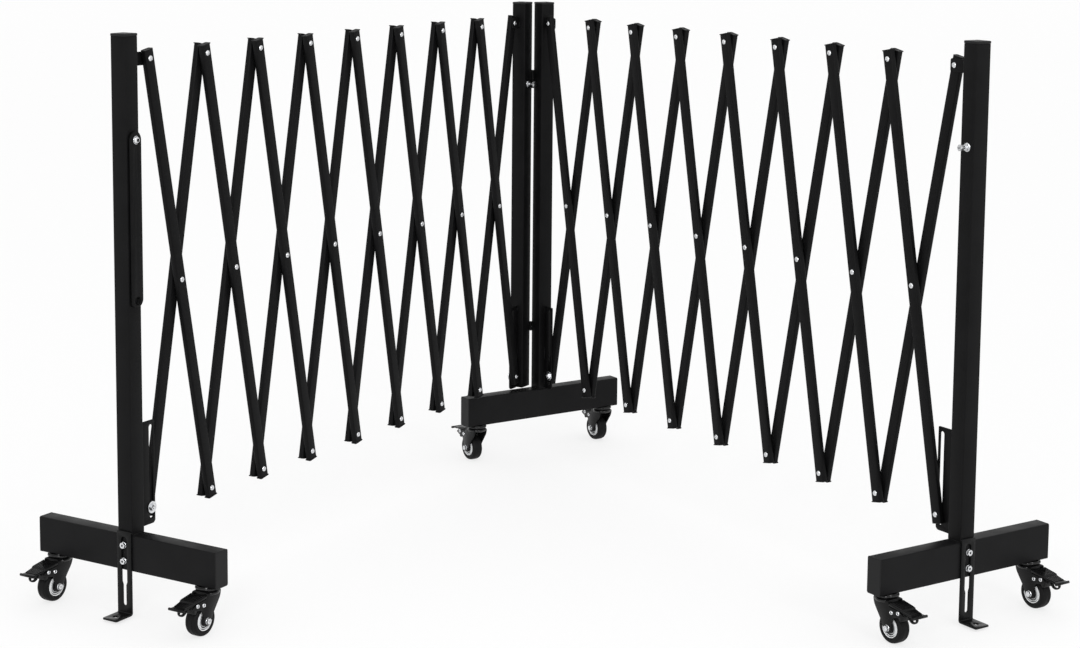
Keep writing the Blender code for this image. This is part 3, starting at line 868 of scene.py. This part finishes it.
leftEnd = panels["left"]
leftHinge = panels["left"] @ along(panelLength("left"))
rightHinge = panels["right"]
rightEnd = panels["right"] @ along(panelLength("right"))
endPivot = barrier["endPivot"]
hingePivot = barrier["hingePivot"]
aboveBeam = barrier["beamTop"] + 0.003  # the left corner post hangs on the hinge
buildPost("leftEndPost", "left_end_post", "left_end", leftEnd, 1, endPivot, onBeam)
buildPost("leftHingePost", "left_hinge_post", "left_corner_post", leftHinge, -1, hingePivot, aboveBeam)
buildPost("rightHingePost", "right_hinge_post", "corner_base", rightHinge, 1, hingePivot, onBeam)
buildPost("rightEndPost", "right_end_post", "right_end", rightEnd, -1, endPivot, onBeam)
addPiece("leftHingeStud", lockStud(), "zinc", "left_corner_post", leftHinge)
addPiece("rightEndStud", lockStud(), "zinc", "right_end", rightEnd)


# Corner hinge: black barrels on webs, each pair on its own pin
hinge = {
    "fromFace": 0.00325,
    "barrel": 0.0029,
    "pin": 0.0015,
    "pinLip": 0.0014,
    "pinClearance": 0.0003,
    "gap": 0.0003,
    "web": 0.0022,
    "webShorter": 0.0006,
    "webSunk": 0.001,
    "upper": (0.179, 0.160, 0.143),  # lowest, split and highest, down from the post's top
    "lower": (0.120, 0.129, 0.138),  # the same, up from the beam's top
}
hingeHeights = (
    [barrier["postTop"] - down for down in hinge["upper"]],
    [barrier["beamTop"] + up for up in hinge["lower"]],
)


def barrelMesh(facing, low, high):
    edge = 0.0005
    r = hinge["barrel"]
    bore = hinge["pin"] + hinge["pinClearance"]
    profile = [(bore, low), (r - edge, low), (r, low + edge), (r, high - edge)]
    profile += [(r - edge, high), (bore, high), (bore, low)]
    x = -facing * (halfPost + hinge["fromFace"])
    barrel = changed(lathe(profile, 28, 40), along(x, -halfPost, 0))
    reach = abs(x) - halfPost + hinge["webSunk"]
    shorter = hinge["webShorter"]
    web = rectTube(reach, hinge["web"], 0.0008, 0.0006, low + shorter, high - shorter)
    middle = -facing * (halfPost + reach / 2 - hinge["webSunk"])
    return joinMeshes([barrel, changed(web, along(middle, -halfPost + hinge["web"] / 2, 0))])


def hingePin(low, high):
    r = hinge["pin"]
    wide = r + hinge["pinLip"]
    seat = high + hinge["pinClearance"]
    profile = [(0, low), (r, low), (r, seat), (wide, seat)]
    profile += [(wide, high + 0.0012), (r + 0.0004, high + 0.0018), (0, high + 0.0018)]
    return changed(lathe(profile, 24, 40), along(-halfPost - hinge["fromFace"], -halfPost, 0))


for number, (low, split, high) in enumerate(hingeHeights):
    label = str(number + 1)
    lower = barrelMesh(1, low, split - hinge["gap"] / 2)
    upper = barrelMesh(-1, split + hinge["gap"] / 2, high)
    pin = hingePin(low + 0.0005, high)
    addPiece("hingeLower" + label, lower, "powder", "corner_base", rightHinge)
    addPiece("hingeUpper" + label, upper, "powder", "left_corner_post", leftHinge)
    addPiece("hingePin" + label, pin, "pressed", "corner_base", rightHinge)
print("posts and corner hinge placed")


# Lock arm and its bolt
arm = {
    "width": 0.026,
    "sheet": 0.003,
    "standoff": 0.002,
    "sideStep": 0.002,
    "reach": 0.25926,
    "pastCatch": 0.012,
    "abovePivot": 0.013,
    "shoulder": (0.006, 0.004),  # cut off each upper corner, and its height above the pivot
    "catchCut": 0.009,
    "catchNick": 0.004,
    "cornerRadius": 0.006,
    "pivotRadius": 0.0034,
    "catchRadius": 0.0066,
    "bushRadius": 0.0070,
    "boltGap": 0.0003,
    "washerRadius": 0.0068,
    "washerHole": 0.003,
    "washer": 0.0008,
    "socketRadius": 0.0027,
    "socketHeight": 0.0034,
    # radius and height of the bolt's head, from its middle to its rim
    "boltHead": (
        (0, 0.0033), (0.0010, 0.0033), (0.0012, 0.0024), (0.0026, 0.0024), (0.0029, 0.0036),
        (0.0042, 0.0033), (0.0055, 0.0018), (0.0058, 0.0002), (0.0056, 0),
    ),
}
armStack = arm["standoff"] + arm["sheet"] + arm["boltGap"]


def armSheet():
    half = arm["width"] / 2
    low = -arm["reach"] - arm["pastCatch"]
    cut = arm["catchCut"]
    inward, side = arm["shoulder"]
    top = arm["abovePivot"]
    corners = [(-half, low + arm["catchNick"]), (half - cut, low), (half, low + cut), (half, side)]
    corners += [(half - inward, top), (inward - half, top), (-half, side)]
    middle = -halfPost - arm["standoff"] - arm["sheet"] / 2
    holes = [circleOf(0, 0, arm["pivotRadius"]), circleOf(0, -arm["reach"], arm["catchRadius"])]
    return cutSheet(softCorners(corners, arm["cornerRadius"]), holes, middle, arm["sheet"], 0.0006)


def armBolt():
    wide = arm["bushRadius"]
    tall = arm["standoff"] - arm["boltGap"]
    bush = lathe([(0, 0), (wide, 0), (wide, tall), (0, tall)], 28)
    washer = flatWasher(arm["washerRadius"], arm["washerHole"], arm["washer"])
    head = lathe(arm["boltHead"], 28, 35)
    meshes = [bush, changed(washer, along(z=armStack)), changed(head, along(z=armStack + arm["washer"]))]
    return changed(joinMeshes(meshes), along(arm["sideStep"], -halfPost, barrier["studHeight"]) @ toFront)


# Painted shade for the socket of the lock arm's bolt.
def armSocketShade():
    headSeat = halfPost + arm["standoff"] + arm["sheet"] + arm["boltGap"] + arm["washer"]
    place = along(arm["sideStep"], -headSeat - arm["socketHeight"], barrier["studHeight"]) @ toFront
    return changed(paintedSocketShade(arm["socketRadius"]), place)


armPlace = leftEnd @ along(arm["sideStep"], 0, barrier["studHeight"])
addPiece("lockArm", armSheet(), "powder", "lock_arm", armPlace, ["lock_arm"])
addPiece("lockArmBolt", armBolt(), "zinc", "left_end", leftEnd)
# Dark hexagon of painted shade on the bolt's head.
addPiece("lockArmBoltSocketShade", armSocketShade(), "plug", "left_end", leftEnd)
print("lock arm placed")


# Foot beams
beam = {
    "length": 0.375,
    "width": 0.030,
    "height": 0.060,
    "bottom": 0.0775,
    "wall": 0.0015,
    "cornerRadius": 0.0026,
    "tubeShorter": 0.0014,  # at each end, behind the plug's flange
    "plugSeat": 0.0012,
    "casterFromEnd": 0.0295,
    "raceRadius": 0.020,
    "raceDepth": 0.006,
    "raceBore": 0.0056,
    "raceStep": 0.0006,
}
casterOffset = beam["length"] / 2 - beam["casterFromEnd"]
beamMiddle = along(z=beam["bottom"] + beam["height"] / 2)


def beamTube():
    half = beam["length"] / 2 - beam["tubeShorter"]
    tube = rectTube(beam["width"], beam["height"], beam["wall"], beam["cornerRadius"], -half, half)
    return changed(tube, beamMiddle @ toRear)


def beamPlugs():
    rows = (
        (-0.0036, -0.004, 0.7),
        (-0.0036, -0.0002, 0.7),
        (0.0, -0.0002, 1.0),
        (0.0003, 0.0002, 1.0),
        (0.0003, 0.0008, 1.0),
        (-0.0006, 0.0014, 1.1),
        (-0.0030, 0.0014, 1.0),
    )
    plug = moulding(beam["width"], beam["height"], beam["cornerRadius"], rows)
    half = beam["length"] / 2 - beam["plugSeat"]
    near = changed(plug, beamMiddle @ along(y=half) @ toRear)
    far = changed(plug, beamMiddle @ along(y=-half) @ toFront)
    return joinMeshes([near, far])


# Fixed race under the beam: a pressing with a round lip, around the king pin.
def raceMesh():
    r = beam["raceRadius"]
    d = beam["raceDepth"]
    bore = beam["raceBore"]
    step = beam["raceStep"]
    lip = (d - 2 * step) / 2
    profile = [(bore, 0.0002), (bore, -d), (r * 0.66, -d), (r * 0.72, -d + step), (r - lip, -d + step)]
    profile += arcOf(r - lip, -d + step + lip, lip, -pi / 2, pi / 2, 10)[1:-1]
    profile += [(r - lip, -step), (r * 0.86, 0.0002)]
    return lathe(profile, 48, 50)


def footSeam():
    edge = halfPost + 0.0002
    half = edge - 0.002
    bead = weldBead(0, 0, -half, half)
    return joinMeshes([changed(bead, along(0, sign * edge, onBeam) @ spin(90, "Y")) for sign in (-1, 1)])


feet = {
    "left": {"node": "left_foot_beam", "body": "left_end", "place": leftEnd, "outward": -1},
    "centre": {"node": "centre_foot_beam", "body": "corner_base", "place": rightHinge, "outward": -1},
    "right": {"node": "right_foot_beam", "body": "right_end", "place": rightEnd, "outward": 1},
}
casterSides = (("Inner", -1), ("Outer", 1))
for name, foot in feet.items():
    # The beam tube takes the lighter copy of the powder coat, which is painted light.
    addPiece(name + "BeamTube", beamTube(), "beam", foot["body"], foot["place"], [foot["node"]])
    addPiece(name + "BeamPlugs", beamPlugs(), "plug", foot["body"], foot["place"])
    addPiece(name + "BeamSeam", footSeam(), "powder", foot["body"], foot["place"])
    for label, sign in casterSides:
        spot = foot["place"] @ along(0, sign * casterOffset, beam["bottom"])
        addPiece(name + label + "Race", raceMesh(), "gloss", foot["body"], spot)
print("foot beams placed")


# Floor legs
leg = {
    "width": 0.030,
    "sheet": 0.003,
    "foot": 0.040,
    "top": 0.1395,
    "offFloor": 0.004,
    "gap": 0.0003,  # between the leg and the beam
    "cornerRadius": 0.003,
    "bendRadius": 0.0045,
    "slotWide": 0.0115,
    "slotNarrow": 0.0073,
    "wideLow": 0.0495,
    "wideHigh": 0.1305,
    "narrowLow": 0.0155,
    "footHole": 0.0045,
    "footHoleAt": 0.62,  # as a share of the foot
    "boltHeights": (0.1205, 0.0940),
    "boltGap": 0.0002,
    "boltRadius": 0.003,
    "collarRadius": 0.0054,
    "collar": 0.0007,
    "headSeat": 0.0006,
    "headAcross": 0.0092,
    "head": 0.0038,
    "headTurn": 12,
    "socketRadius": 0.0022,
}
boltSeat = leg["gap"] + leg["sheet"] + leg["boltGap"]


def keyhole():
    wide = leg["slotWide"] / 2
    narrow = leg["slotNarrow"] / 2
    shoulder = leg["wideLow"] + wide
    narrowTop = leg["wideLow"] + 0.0005
    points = arcOf(0, leg["wideHigh"] - wide, wide, 0, pi, 12)
    points += [(-wide, shoulder), (-narrow, narrowTop)]
    points += arcOf(0, leg["narrowLow"] + narrow, -narrow, 0, pi, 10)
    return points + [(narrow, narrowTop), (wide, shoulder)]


# The leg is cut flat and then bent: below the bend line the strip turns out along the floor.
def legSheet():
    half = leg["width"] / 2
    sheet = leg["sheet"]
    inner = leg["bendRadius"] - sheet
    middleRadius = inner + sheet / 2
    arc = middleRadius * pi / 2
    straight = leg["foot"] - sheet - inner
    bendTop = leg["bendRadius"]
    bottom = bendTop - arc - straight
    corners = [(-half, bottom), (half, bottom), (half, leg["top"]), (-half, leg["top"])]
    holeAt = bendTop - arc - (leg["foot"] * leg["footHoleAt"] - sheet - inner)
    holes = [keyhole(), circleOf(0, holeAt, leg["footHole"])]
    shape = bmesh.new()
    shape.from_mesh(cutSheet(softCorners(corners, leg["cornerRadius"]), holes, 0, sheet, 0.0005))
    bendSteps = 8
    for step in range(bendSteps + 1):
        height = bendTop - arc * step / bendSteps
        everything = list(shape.verts) + list(shape.edges) + list(shape.faces)
        bmesh.ops.bisect_plane(shape, geom=everything, plane_co=(0, 0, height), plane_no=(0, 0, 1))
    for vert in shape.verts:
        x, y, z = vert.co
        if z >= bendTop:
            continue
        travel = bendTop - z
        turn = min(travel / arc, 1.0) * pi / 2
        reach = middleRadius - y
        newY = middleRadius - reach * cos(turn)
        newZ = bendTop - reach * sin(turn)
        if travel > arc:
            newY += travel - arc
        vert.co = (x, newY, newZ)
    for vert in shape.verts:
        vert.co.y += leg["gap"] + sheet / 2
        vert.co.z += leg["offFloor"]
    return meshFromShape(shape, 50)


def legBolts():
    collar = flatWasher(leg["collarRadius"], leg["boltRadius"], leg["collar"])
    head = hexNut(leg["headAcross"], leg["head"], leg["socketRadius"], 0.0)
    meshes = []
    for height in leg["boltHeights"]:
        place = along(0, boltSeat, height) @ toRear
        meshes.append(changed(collar, place))
        meshes.append(changed(head, place @ along(z=leg["headSeat"]) @ spin(leg["headTurn"], "Z")))
        meshes.append(changed(shank(leg["boltRadius"], -boltSeat, 0.001), place))
    return joinMeshes(meshes)


# Painted shade for the sockets of the leg bolts.
def legSocketShades():
    headTop = boltSeat + leg["headSeat"] + leg["head"]
    socket = changed(paintedSocketShade(leg["socketRadius"]), along(y=headTop) @ toRear)
    return joinMeshes([changed(socket, along(z=height)) for height in leg["boltHeights"]])


legMesh = legSheet()
legBoltMesh = legBolts()
legSocketShadeMesh = legSocketShades()
for name in ("left", "right"):
    foot = feet[name]
    node = name + "_floor_leg"
    place = foot["place"] @ along(foot["outward"] * halfPost) @ spin(-90 * foot["outward"], "Z")
    addPiece(name + "FloorLeg", legMesh, "pressed", node, place, [node])
    addPiece(name + "LegBolts", legBoltMesh, "zinc", foot["body"], place)
    # Dark hexagons of painted shade on the leg bolts' heads.
    addPiece(name + "LegSocketShades", legSocketShadeMesh, "plug", foot["body"], place)
print("floor legs placed")


# Casters, drawn with the swivel axis at x = y = 0, the pedal toward +x and the axle along y
caster = {
    "wheelRadius": 0.026,
    "wheelWidth": 0.021,
    "trail": 0.019,
    "forkSheet": 0.0026,
    "forkInner": 0.0129,  # half the space between the cheeks
    "forkBend": 0.0042,
    "forkLow": 0.005,
    "crownTop": 0.0712,
    "crownRadius": 0.020,
    "crownLip": 0.0030,
    "crownRear": 0.015,
    "pedalX": 0.0425,
    "pedalZ": 0.0565,
    "pedalHalfWidth": 0.016,
    "rivetRadius": 0.0035,
    "cheekRivets": ((0, 0), (-0.015, -0.0027)),  # from the pedal's pin
}
forkOuter = caster["forkInner"] + caster["forkSheet"]
halfWheel = caster["wheelWidth"] / 2


# Section of the fork across the caster: a channel open at the bottom.
def forkSection():
    inner = caster["forkInner"]
    top = caster["crownTop"]
    low = caster["forkLow"]
    bend = caster["forkBend"]
    small = bend - caster["forkSheet"]
    under = top - caster["forkSheet"] - small
    section = [(-forkOuter, low)]
    section += arcOf(-forkOuter + bend, top - bend, bend, pi, pi / 2, 6)
    section += arcOf(forkOuter - bend, top - bend, bend, pi / 2, 0, 6)
    section += [(forkOuter, low), (inner, low)]
    section += arcOf(inner - small, under, small, 0, pi / 2, 4)
    section += arcOf(-inner + small, under, small, pi / 2, pi, 4)
    return section + [(-inner, low)]


# The fork is one pressing: the channel, trimmed to the outline of its cheeks.
def forkMesh():
    channel = skinLoops([[(x, y, z) for y, z in forkSection()] for x in (-0.05, 0.07)], capped=True)
    top = caster["crownTop"]
    x = caster["trail"]
    z = caster["wheelRadius"]
    pinX = caster["pedalX"]
    pinZ = caster["pedalZ"]
    rear = -caster["crownRear"]
    cheek = (
        # down the rear edge, around the axle, and up to the pedal's pin and the crown
        (rear, top + 0.002), (rear + 0.0005, top - 0.007), (rear + 0.003, top - 0.014),
        (x - 0.014, z + 0.008), (x - 0.010, z - 0.002), (x - 0.005, z - 0.008), (x + 0.005, z - 0.008),
        (x + 0.0095, z - 0.002), (x + 0.009, z + 0.010), (x + 0.013, z + 0.0205),
        (pinX + 0.0035, pinZ - 0.007), (pinX + 0.0115, pinZ - 0.0035), (pinX + 0.0115, pinZ - 0.0015),
        (pinX + 0.0075, pinZ + 0.0009), (pinX, pinZ + 0.0035), (0.020, pinZ + 0.0059), (0.020, top + 0.002),
    )
    outline = softCorners(cheek, 0.0035, 4)
    trim = skinLoops([[(px, y, pz) for px, pz in outline] for y in (-0.03, 0.03)], capped=True)
    return bevelled(commonPart(channel, trim), 0.0005)


# Crown of the fork: a pressed cup with a round lip, under the race of the beam.
def crownMesh():
    top = caster["crownTop"]
    r = caster["crownRadius"]
    lip = caster["crownLip"]
    low = top - 0.0070
    profile = [(0.0, low), (r - 0.0024, low)]
    profile += arcOf(r - lip, top - 0.0008 - lip, lip, -pi / 2, pi / 2, 10)
    profile += [(r * 0.80, top), (r * 0.60, top), (r * 0.56, top - 0.0006), (0, top - 0.0006)]
    return lathe(profile, 48, 50)


# Thin ring that shows in the gap between the race and the crown.
def crownRing():
    top = caster["crownTop"]
    half = 0.0004
    inner = 0.0160
    outer = 0.0176
    profile = [(inner, top - half), (outer - half, top - half), (outer, top + 0.0001), (outer, top + half)]
    profile += [(inner, top + half), (inner, top - half)]
    return lathe(profile, 40, 35)


axle = {
    "across": 0.0086,
    "nut": 0.0036,
    "nutBolt": 0.0026,
    "head": 0.0034,
    "headBolt": 0.0022,
    "seat": 0.0008,
    "washerRadius": 0.0053,
    "washerHole": 0.003,
    "washer": 0.0007,
    "sleeve": 0.0038,
    "pedalPin": 0.0022,
}


# Axle with a nut at one side and a bolt head at the other, the cheeks' rivets and the pedal's pin.
def casterFasteners():
    z = caster["wheelRadius"]
    x = caster["trail"]
    out = forkOuter
    seat = forkOuter + axle["seat"]
    nut = hexNut(axle["across"], axle["nut"], axle["nutBolt"])
    head = hexNut(axle["across"], axle["head"], axle["headBolt"], 0.0)
    washer = flatWasher(axle["washerRadius"], axle["washerHole"], axle["washer"])
    meshes = [changed(washer, along(x, -out, z) @ toFront), changed(nut, along(x, -seat, z) @ toFront)]
    meshes += [changed(washer, along(x, out, z) @ toRear), changed(head, along(x, seat, z) @ toRear)]
    meshes.append(changed(shank(axle["sleeve"], -out, out), along(x, 0, z) @ toRear))
    wide = caster["rivetRadius"]
    eyelet = [(0, -0.0006), (wide * 0.42, -0.0006), (wide * 0.46, 0.0009), (wide * 0.58, 0.0014)]
    eyelet += [(wide * 0.78, 0.0013), (wide * 0.95, 0.0006), (wide, 0.0001), (wide, -0.0002)]
    small = lathe(eyelet, 24, 50)
    for stepX, stepZ in caster["cheekRivets"]:
        px = caster["pedalX"] + stepX
        pz = caster["pedalZ"] + stepZ
        meshes.append(changed(small, along(px, -out, pz) @ toFront))
        meshes.append(changed(small, along(px, out, pz) @ toRear))
    pin = shank(axle["pedalPin"], -out + 0.0005, out - 0.0005)
    meshes.append(changed(pin, along(caster["pedalX"], 0, caster["pedalZ"]) @ toRear))
    return joinMeshes(meshes)


# Turned shape around y from the (radius, y) points of one side of the wheel, and the same mirrored.
def wheelTurned(side):
    other = [(radius, -y) for radius, y in reversed(side)]
    return changed(lathe(side + other + side[:1], 64, 35), toFront)


# Tyre with a groove on each side of its tread.
def tyreMesh():
    r = caster["wheelRadius"]
    half = halfWheel
    side = [(r * 0.70, half - 0.0012), (r * 0.74, half - 0.0002), (r * 0.80, half)]
    side += [(r * 0.88, half - 0.0001), (r * 0.935, half - 0.0008), (r * 0.968, half - 0.0020)]
    side += [(r * 0.988, half - 0.0038), (r, half * 0.46), (r * 0.983, half * 0.41)]
    side += [(r * 0.983, half * 0.34), (r, half * 0.29)]
    return wheelTurned(side)


# Moulded wheel centre: a dark dish with a raised hub on each side.
def wheelCentre():
    r = caster["wheelRadius"]
    half = halfWheel
    hub = half + 0.0015
    side = [(0.0044, hub - 0.0006), (0.0052, hub), (0.0078, hub), (0.0084, hub - 0.0006)]
    side += [(0.0090, half - 0.0022), (r * 0.50, half - 0.0026)]
    side += [(r * 0.62, half - 0.0012), (r * 0.71, half - 0.0012)]
    return wheelTurned(side)


# A light ring on each side of the wheel: its foot lies deep below the side face, and it rises by lift.
def wheelRings(inner, outer, deep, lift):
    base = halfWheel - deep
    ring = [(inner, base), (inner + 0.0003, base + lift), (outer - 0.0006, base + lift), (outer, base)]
    return joinMeshes([changed(lathe(ring, 64, 40), turn) for turn in (toFront, toRear)])


# Brake pedal about its pin: the lever with its shoe, and a small looped tab in front of the tyre.
def pedalBody():
    half = caster["forkInner"] - 0.0006
    lever = (
        (-0.0065, 0.006), (-0.0065, -0.0035), (-0.001, -0.0115), (0.0005, -0.0135),
        (0.005, -0.0135), (0.0075, -0.0045), (0.0095, 0.004),
    )
    rounded = softCorners(lever, 0.0025, 3)
    block = skinLoops([[(x, y, z) for x, z in rounded] for y in (-half, half)], capped=True)
    tab = (
        (0.008, 0.004), (0.0085, -0.006), (0.0125, -0.0122), (0.019, -0.0142),
        (0.0262, -0.0120), (0.0298, -0.0062), (0.0275, 0.0005),
    )
    hole = circleOf(0.0202, -0.0070, 0.0033, stretch=1.75)
    loop = cutSheet(softCorners(tab, 0.003, 4), [hole], 0, 0.004, 0.0007)
    return joinMeshes([bevelled(block, 0.0007), loop])


# Sloping tread of the pedal: a pressing with a step and a waist, and a round lip at its front.
def pedalTread():
    wide = caster["pedalHalfWidth"]
    stations = (
        # along the pedal, lowest, highest, half width
        (-0.0215, 0.0071, 0.0110, wide),
        (-0.0060, 0.0052, 0.0090, wide * 0.97),
        (0.0072, 0.0034, 0.0073, wide * 0.92),
        (0.0084, 0.0026, 0.0048, wide * 0.91),
        (0.0180, 0.0009, 0.0035, wide * 0.82),
        (0.0262, 0.0001, 0.0024, wide * 0.75),
        (0.0306, -0.0004, 0.0020, wide * 0.86),
        (0.0328, -0.0006, 0.0019, wide * 0.98),
    )
    stages = []
    for x, low, high, half in stations:
        stages.append([(x, -half, low), (x, half, low), (x, half, high), (x, -half, high)])
    tread = bevelled(skinLoops(stages, capped=True), 0.0006)
    end = wide - 0.0009
    lip = [(0, -wide), (0.0014, -wide), (0.0023, -end), (0.0023, end), (0.0014, wide), (0, wide)]
    return joinMeshes([tread, changed(lathe(lip, 20, 50), along(0.0331, 0, 0.0005) @ toRear)])


# Ribs of the tread, along the pedal above and below its step.
def treadRibs():
    wide = caster["pedalHalfWidth"]
    # along the pedal, height, share of the half width
    upper = ((-0.0190, 0.0107, 0.86), (-0.0060, 0.0090, 0.83), (0.0064, 0.0074, 0.80))
    lower = ((0.0096, 0.0047, 0.78), (0.0180, 0.0036, 0.70), (0.0262, 0.0025, 0.64))
    ridge = ((-0.0010, -0.0005), (-0.0005, 0.0009), (0.0005, 0.0009), (0.0010, -0.0005))
    meshes = []
    for step in range(7):
        across = -1 + step / 3
        for line in (upper, lower):
            stages = []
            for x, z, part in line:
                y = across * part * wide
                stages.append([(x, y + sideways, z + rise) for sideways, rise in ridge])
            meshes.append(skinLoops(stages, capped=True))
    return joinMeshes(meshes)


casterPieces = (
    # name, mesh, finish, body that it rides on
    ("Fork", forkMesh(), "pressed", "fork"),
    ("Crown", crownMesh(), "gloss", "fork"),
    ("SealRing", crownRing(), "pressed", "fork"),
    ("Fasteners", casterFasteners(), "zinc", "fork"),
    ("Tyre", tyreMesh(), "tyre", "wheel"),
    ("WheelCentre", wheelCentre(), "plug", "wheel"),
    ("WheelRim", wheelRings(0.0152, 0.0169, 0.0016, 0.0019), "rim", "wheel"),
    ("WheelStep", wheelRings(0.0123, 0.0139, 0.0018, 0.0016), "rim", "wheel"),
    ("WheelRings", wheelRings(0.0090, 0.0110, 0.0028, 0.0016), "hub", "wheel"),
    ("Pedal", pedalBody(), "pressed", "pedal"),
    ("Tread", pedalTread(), "pressed", "pedal"),
    ("Ribs", treadRibs(), "gloss", "pedal"),
)
standForNodes = ("Fork", "Tyre", "Pedal")


def buildCaster(name, node, place):
    places = {
        "fork": place,
        "wheel": place @ along(caster["trail"], 0, caster["wheelRadius"]),
        "pedal": place @ along(caster["pedalX"], 0, caster["pedalZ"]),
    }
    for label, mesh, finish, part in casterPieces:
        body = node + "_" + part
        addPiece(name + label, mesh, finish, body, places[part], [body] if label in standForNodes else [])


for name, foot in feet.items():
    turn = spin(0 if foot["outward"] > 0 else 180, "Z")
    for label, sign in casterSides:
        spot = foot["place"] @ along(0, sign * casterOffset, 0) @ turn
        buildCaster(name + label + "Caster", name + "_" + label.lower() + "_caster", spot)
print("casters placed")


# Floor and light
studio = {
    "floorSize": 60.0,
    "floorTone": 0.93,
    "shadowTone": 0.22,  # the part of the floor's tone that takes shadows for the camera
    "floorLift": 0.730,  # white added to the floor as the camera sees it
    "skyLow": 0.45,  # light from the horizon
    "skyHigh": 1.35,  # light from straight above
    "skyLean": 0.15,  # more light from the right, less from the left
    "softBoxes": (
        # position, aim, size, watts
        ((-2.6, -3.2, 3.4), (0.0, 0.0, 0.5), 2.4, 6.0),
        ((2.6, -4.2, 2.3), (0.0, 0.0, 0.4), 0.9, 36.0),
        ((-0.9, -4.4, 2.3), (0.0, 0.0, 0.4), 0.9, 50.0),
    ),
}
white = (1, 1, 1, 1)


def combined(tree, operation, first, second):
    node = newNode(tree, "Math", links={0: first, 1: second})
    node.operation = operation
    return node.outputs["Value"]


# One for a ray that comes from the camera, a mirror-like face or glass; zero for the rest.
def seenDirectly(tree):
    rays = newNode(tree, "LightPath").outputs
    total = combined(tree, "MAXIMUM", rays["Is Camera Ray"], rays["Is Glossy Ray"])
    return combined(tree, "MAXIMUM", total, rays["Is Transmission Ray"])


def buildFloor():
    half = studio["floorSize"] / 2
    shape = bmesh.new()
    corners = ((-half, -half), (half, -half), (half, half), (-half, half))
    shape.faces.new([shape.verts.new((x, y, 0)) for x, y in corners])
    floor = newObject("studioFloor", meshFromShape(shape))
    material, tree, shader = newFinish("studio floor", 0.9, specular=0.1)
    seen = seenDirectly(tree)
    tones = {"To Min": studio["floorTone"], "To Max": studio["shadowTone"]}
    tone = newNode(tree, "MapRange", tones, {"Value": seen})
    tree.links.new(tone.outputs["Result"], shader.inputs["Base Color"])
    shader.inputs["Emission Color"].default_value = white
    lift = newNode(tree, "Math", {1: studio["floorLift"]}, {0: seen})
    lift.operation = "MULTIPLY"
    tree.links.new(lift.outputs["Value"], shader.inputs["Emission Strength"])
    floor.data.materials.append(material)


# White to look at; what lights the object is a sky that is dimmer towards the horizon.
def buildWorld():
    world = bpy.data.worlds.new("studio")
    bpy.context.scene.world = world
    world.use_nodes = True
    tree = world.node_tree
    tree.nodes.clear()
    place = newNode(tree, "TexCoord")
    parts = newNode(tree, "SeparateXYZ", links={"Vector": place.outputs["Generated"]})
    rise = {"To Min": studio["skyLow"], "To Max": studio["skyHigh"]}
    height = newNode(tree, "MapRange", rise, {"Value": parts.outputs["Z"]})
    lean = {"From Min": -1.0, "To Min": 1.0 - studio["skyLean"], "To Max": 1.0 + studio["skyLean"]}
    across = newNode(tree, "MapRange", lean, {"Value": parts.outputs["X"]})
    strength = combined(tree, "MULTIPLY", height.outputs["Result"], across.outputs["Result"])
    light = newNode(tree, "Background", {"Color": white}, {"Strength": strength})
    backdrop = newNode(tree, "Background", {"Color": white, "Strength": 1.0})
    shaders = {1: light.outputs["Background"], 2: backdrop.outputs["Background"]}
    mix = newNode(tree, "MixShader", links={"Fac": seenDirectly(tree), **shaders})
    newNode(tree, "OutputWorld", links={"Surface": mix.outputs["Shader"]})


def buildLamps():
    for number, (position, aim, size, watts) in enumerate(studio["softBoxes"]):
        lamp = bpy.data.lights.new("softBox" + str(number + 1), "AREA")
        lamp.shape = "SQUARE"
        lamp.size = size
        lamp.energy = watts
        holder = newObject(lamp.name, lamp)
        toward = Vector(aim) - Vector(position)
        holder.location = position
        holder.rotation_euler = toward.to_track_quat("-Z", "Y").to_euler()


buildFloor()
buildWorld()
buildLamps()

cameraSet = {
    "at": (-0.08839, -3.87928, 1.18106),
    "heading": -1.2427,  # degrees, turned to the right of straight ahead
    "tilt": -7.0165,
    "roll": 0.5016,
    "lens": 71.086,
    "shiftY": -0.1597,
}


def buildCamera():
    camera = bpy.data.cameras.new("photoCamera")
    camera.lens = cameraSet["lens"]
    camera.sensor_width = 36.0
    camera.sensor_fit = "HORIZONTAL"
    camera.shift_y = cameraSet["shiftY"]
    camera.clip_end = 200
    holder = newObject("photoCamera", camera)
    aim = spin(cameraSet["heading"], "Z") @ spin(90 + cameraSet["tilt"], "X") @ spin(cameraSet["roll"], "Z")
    holder.matrix_world = Matrix.Translation(cameraSet["at"]) @ aim
    bpy.context.scene.camera = holder


buildCamera()
bpy.context.scene.view_settings.view_transform = "Standard"
print("floor, light and camera placed")
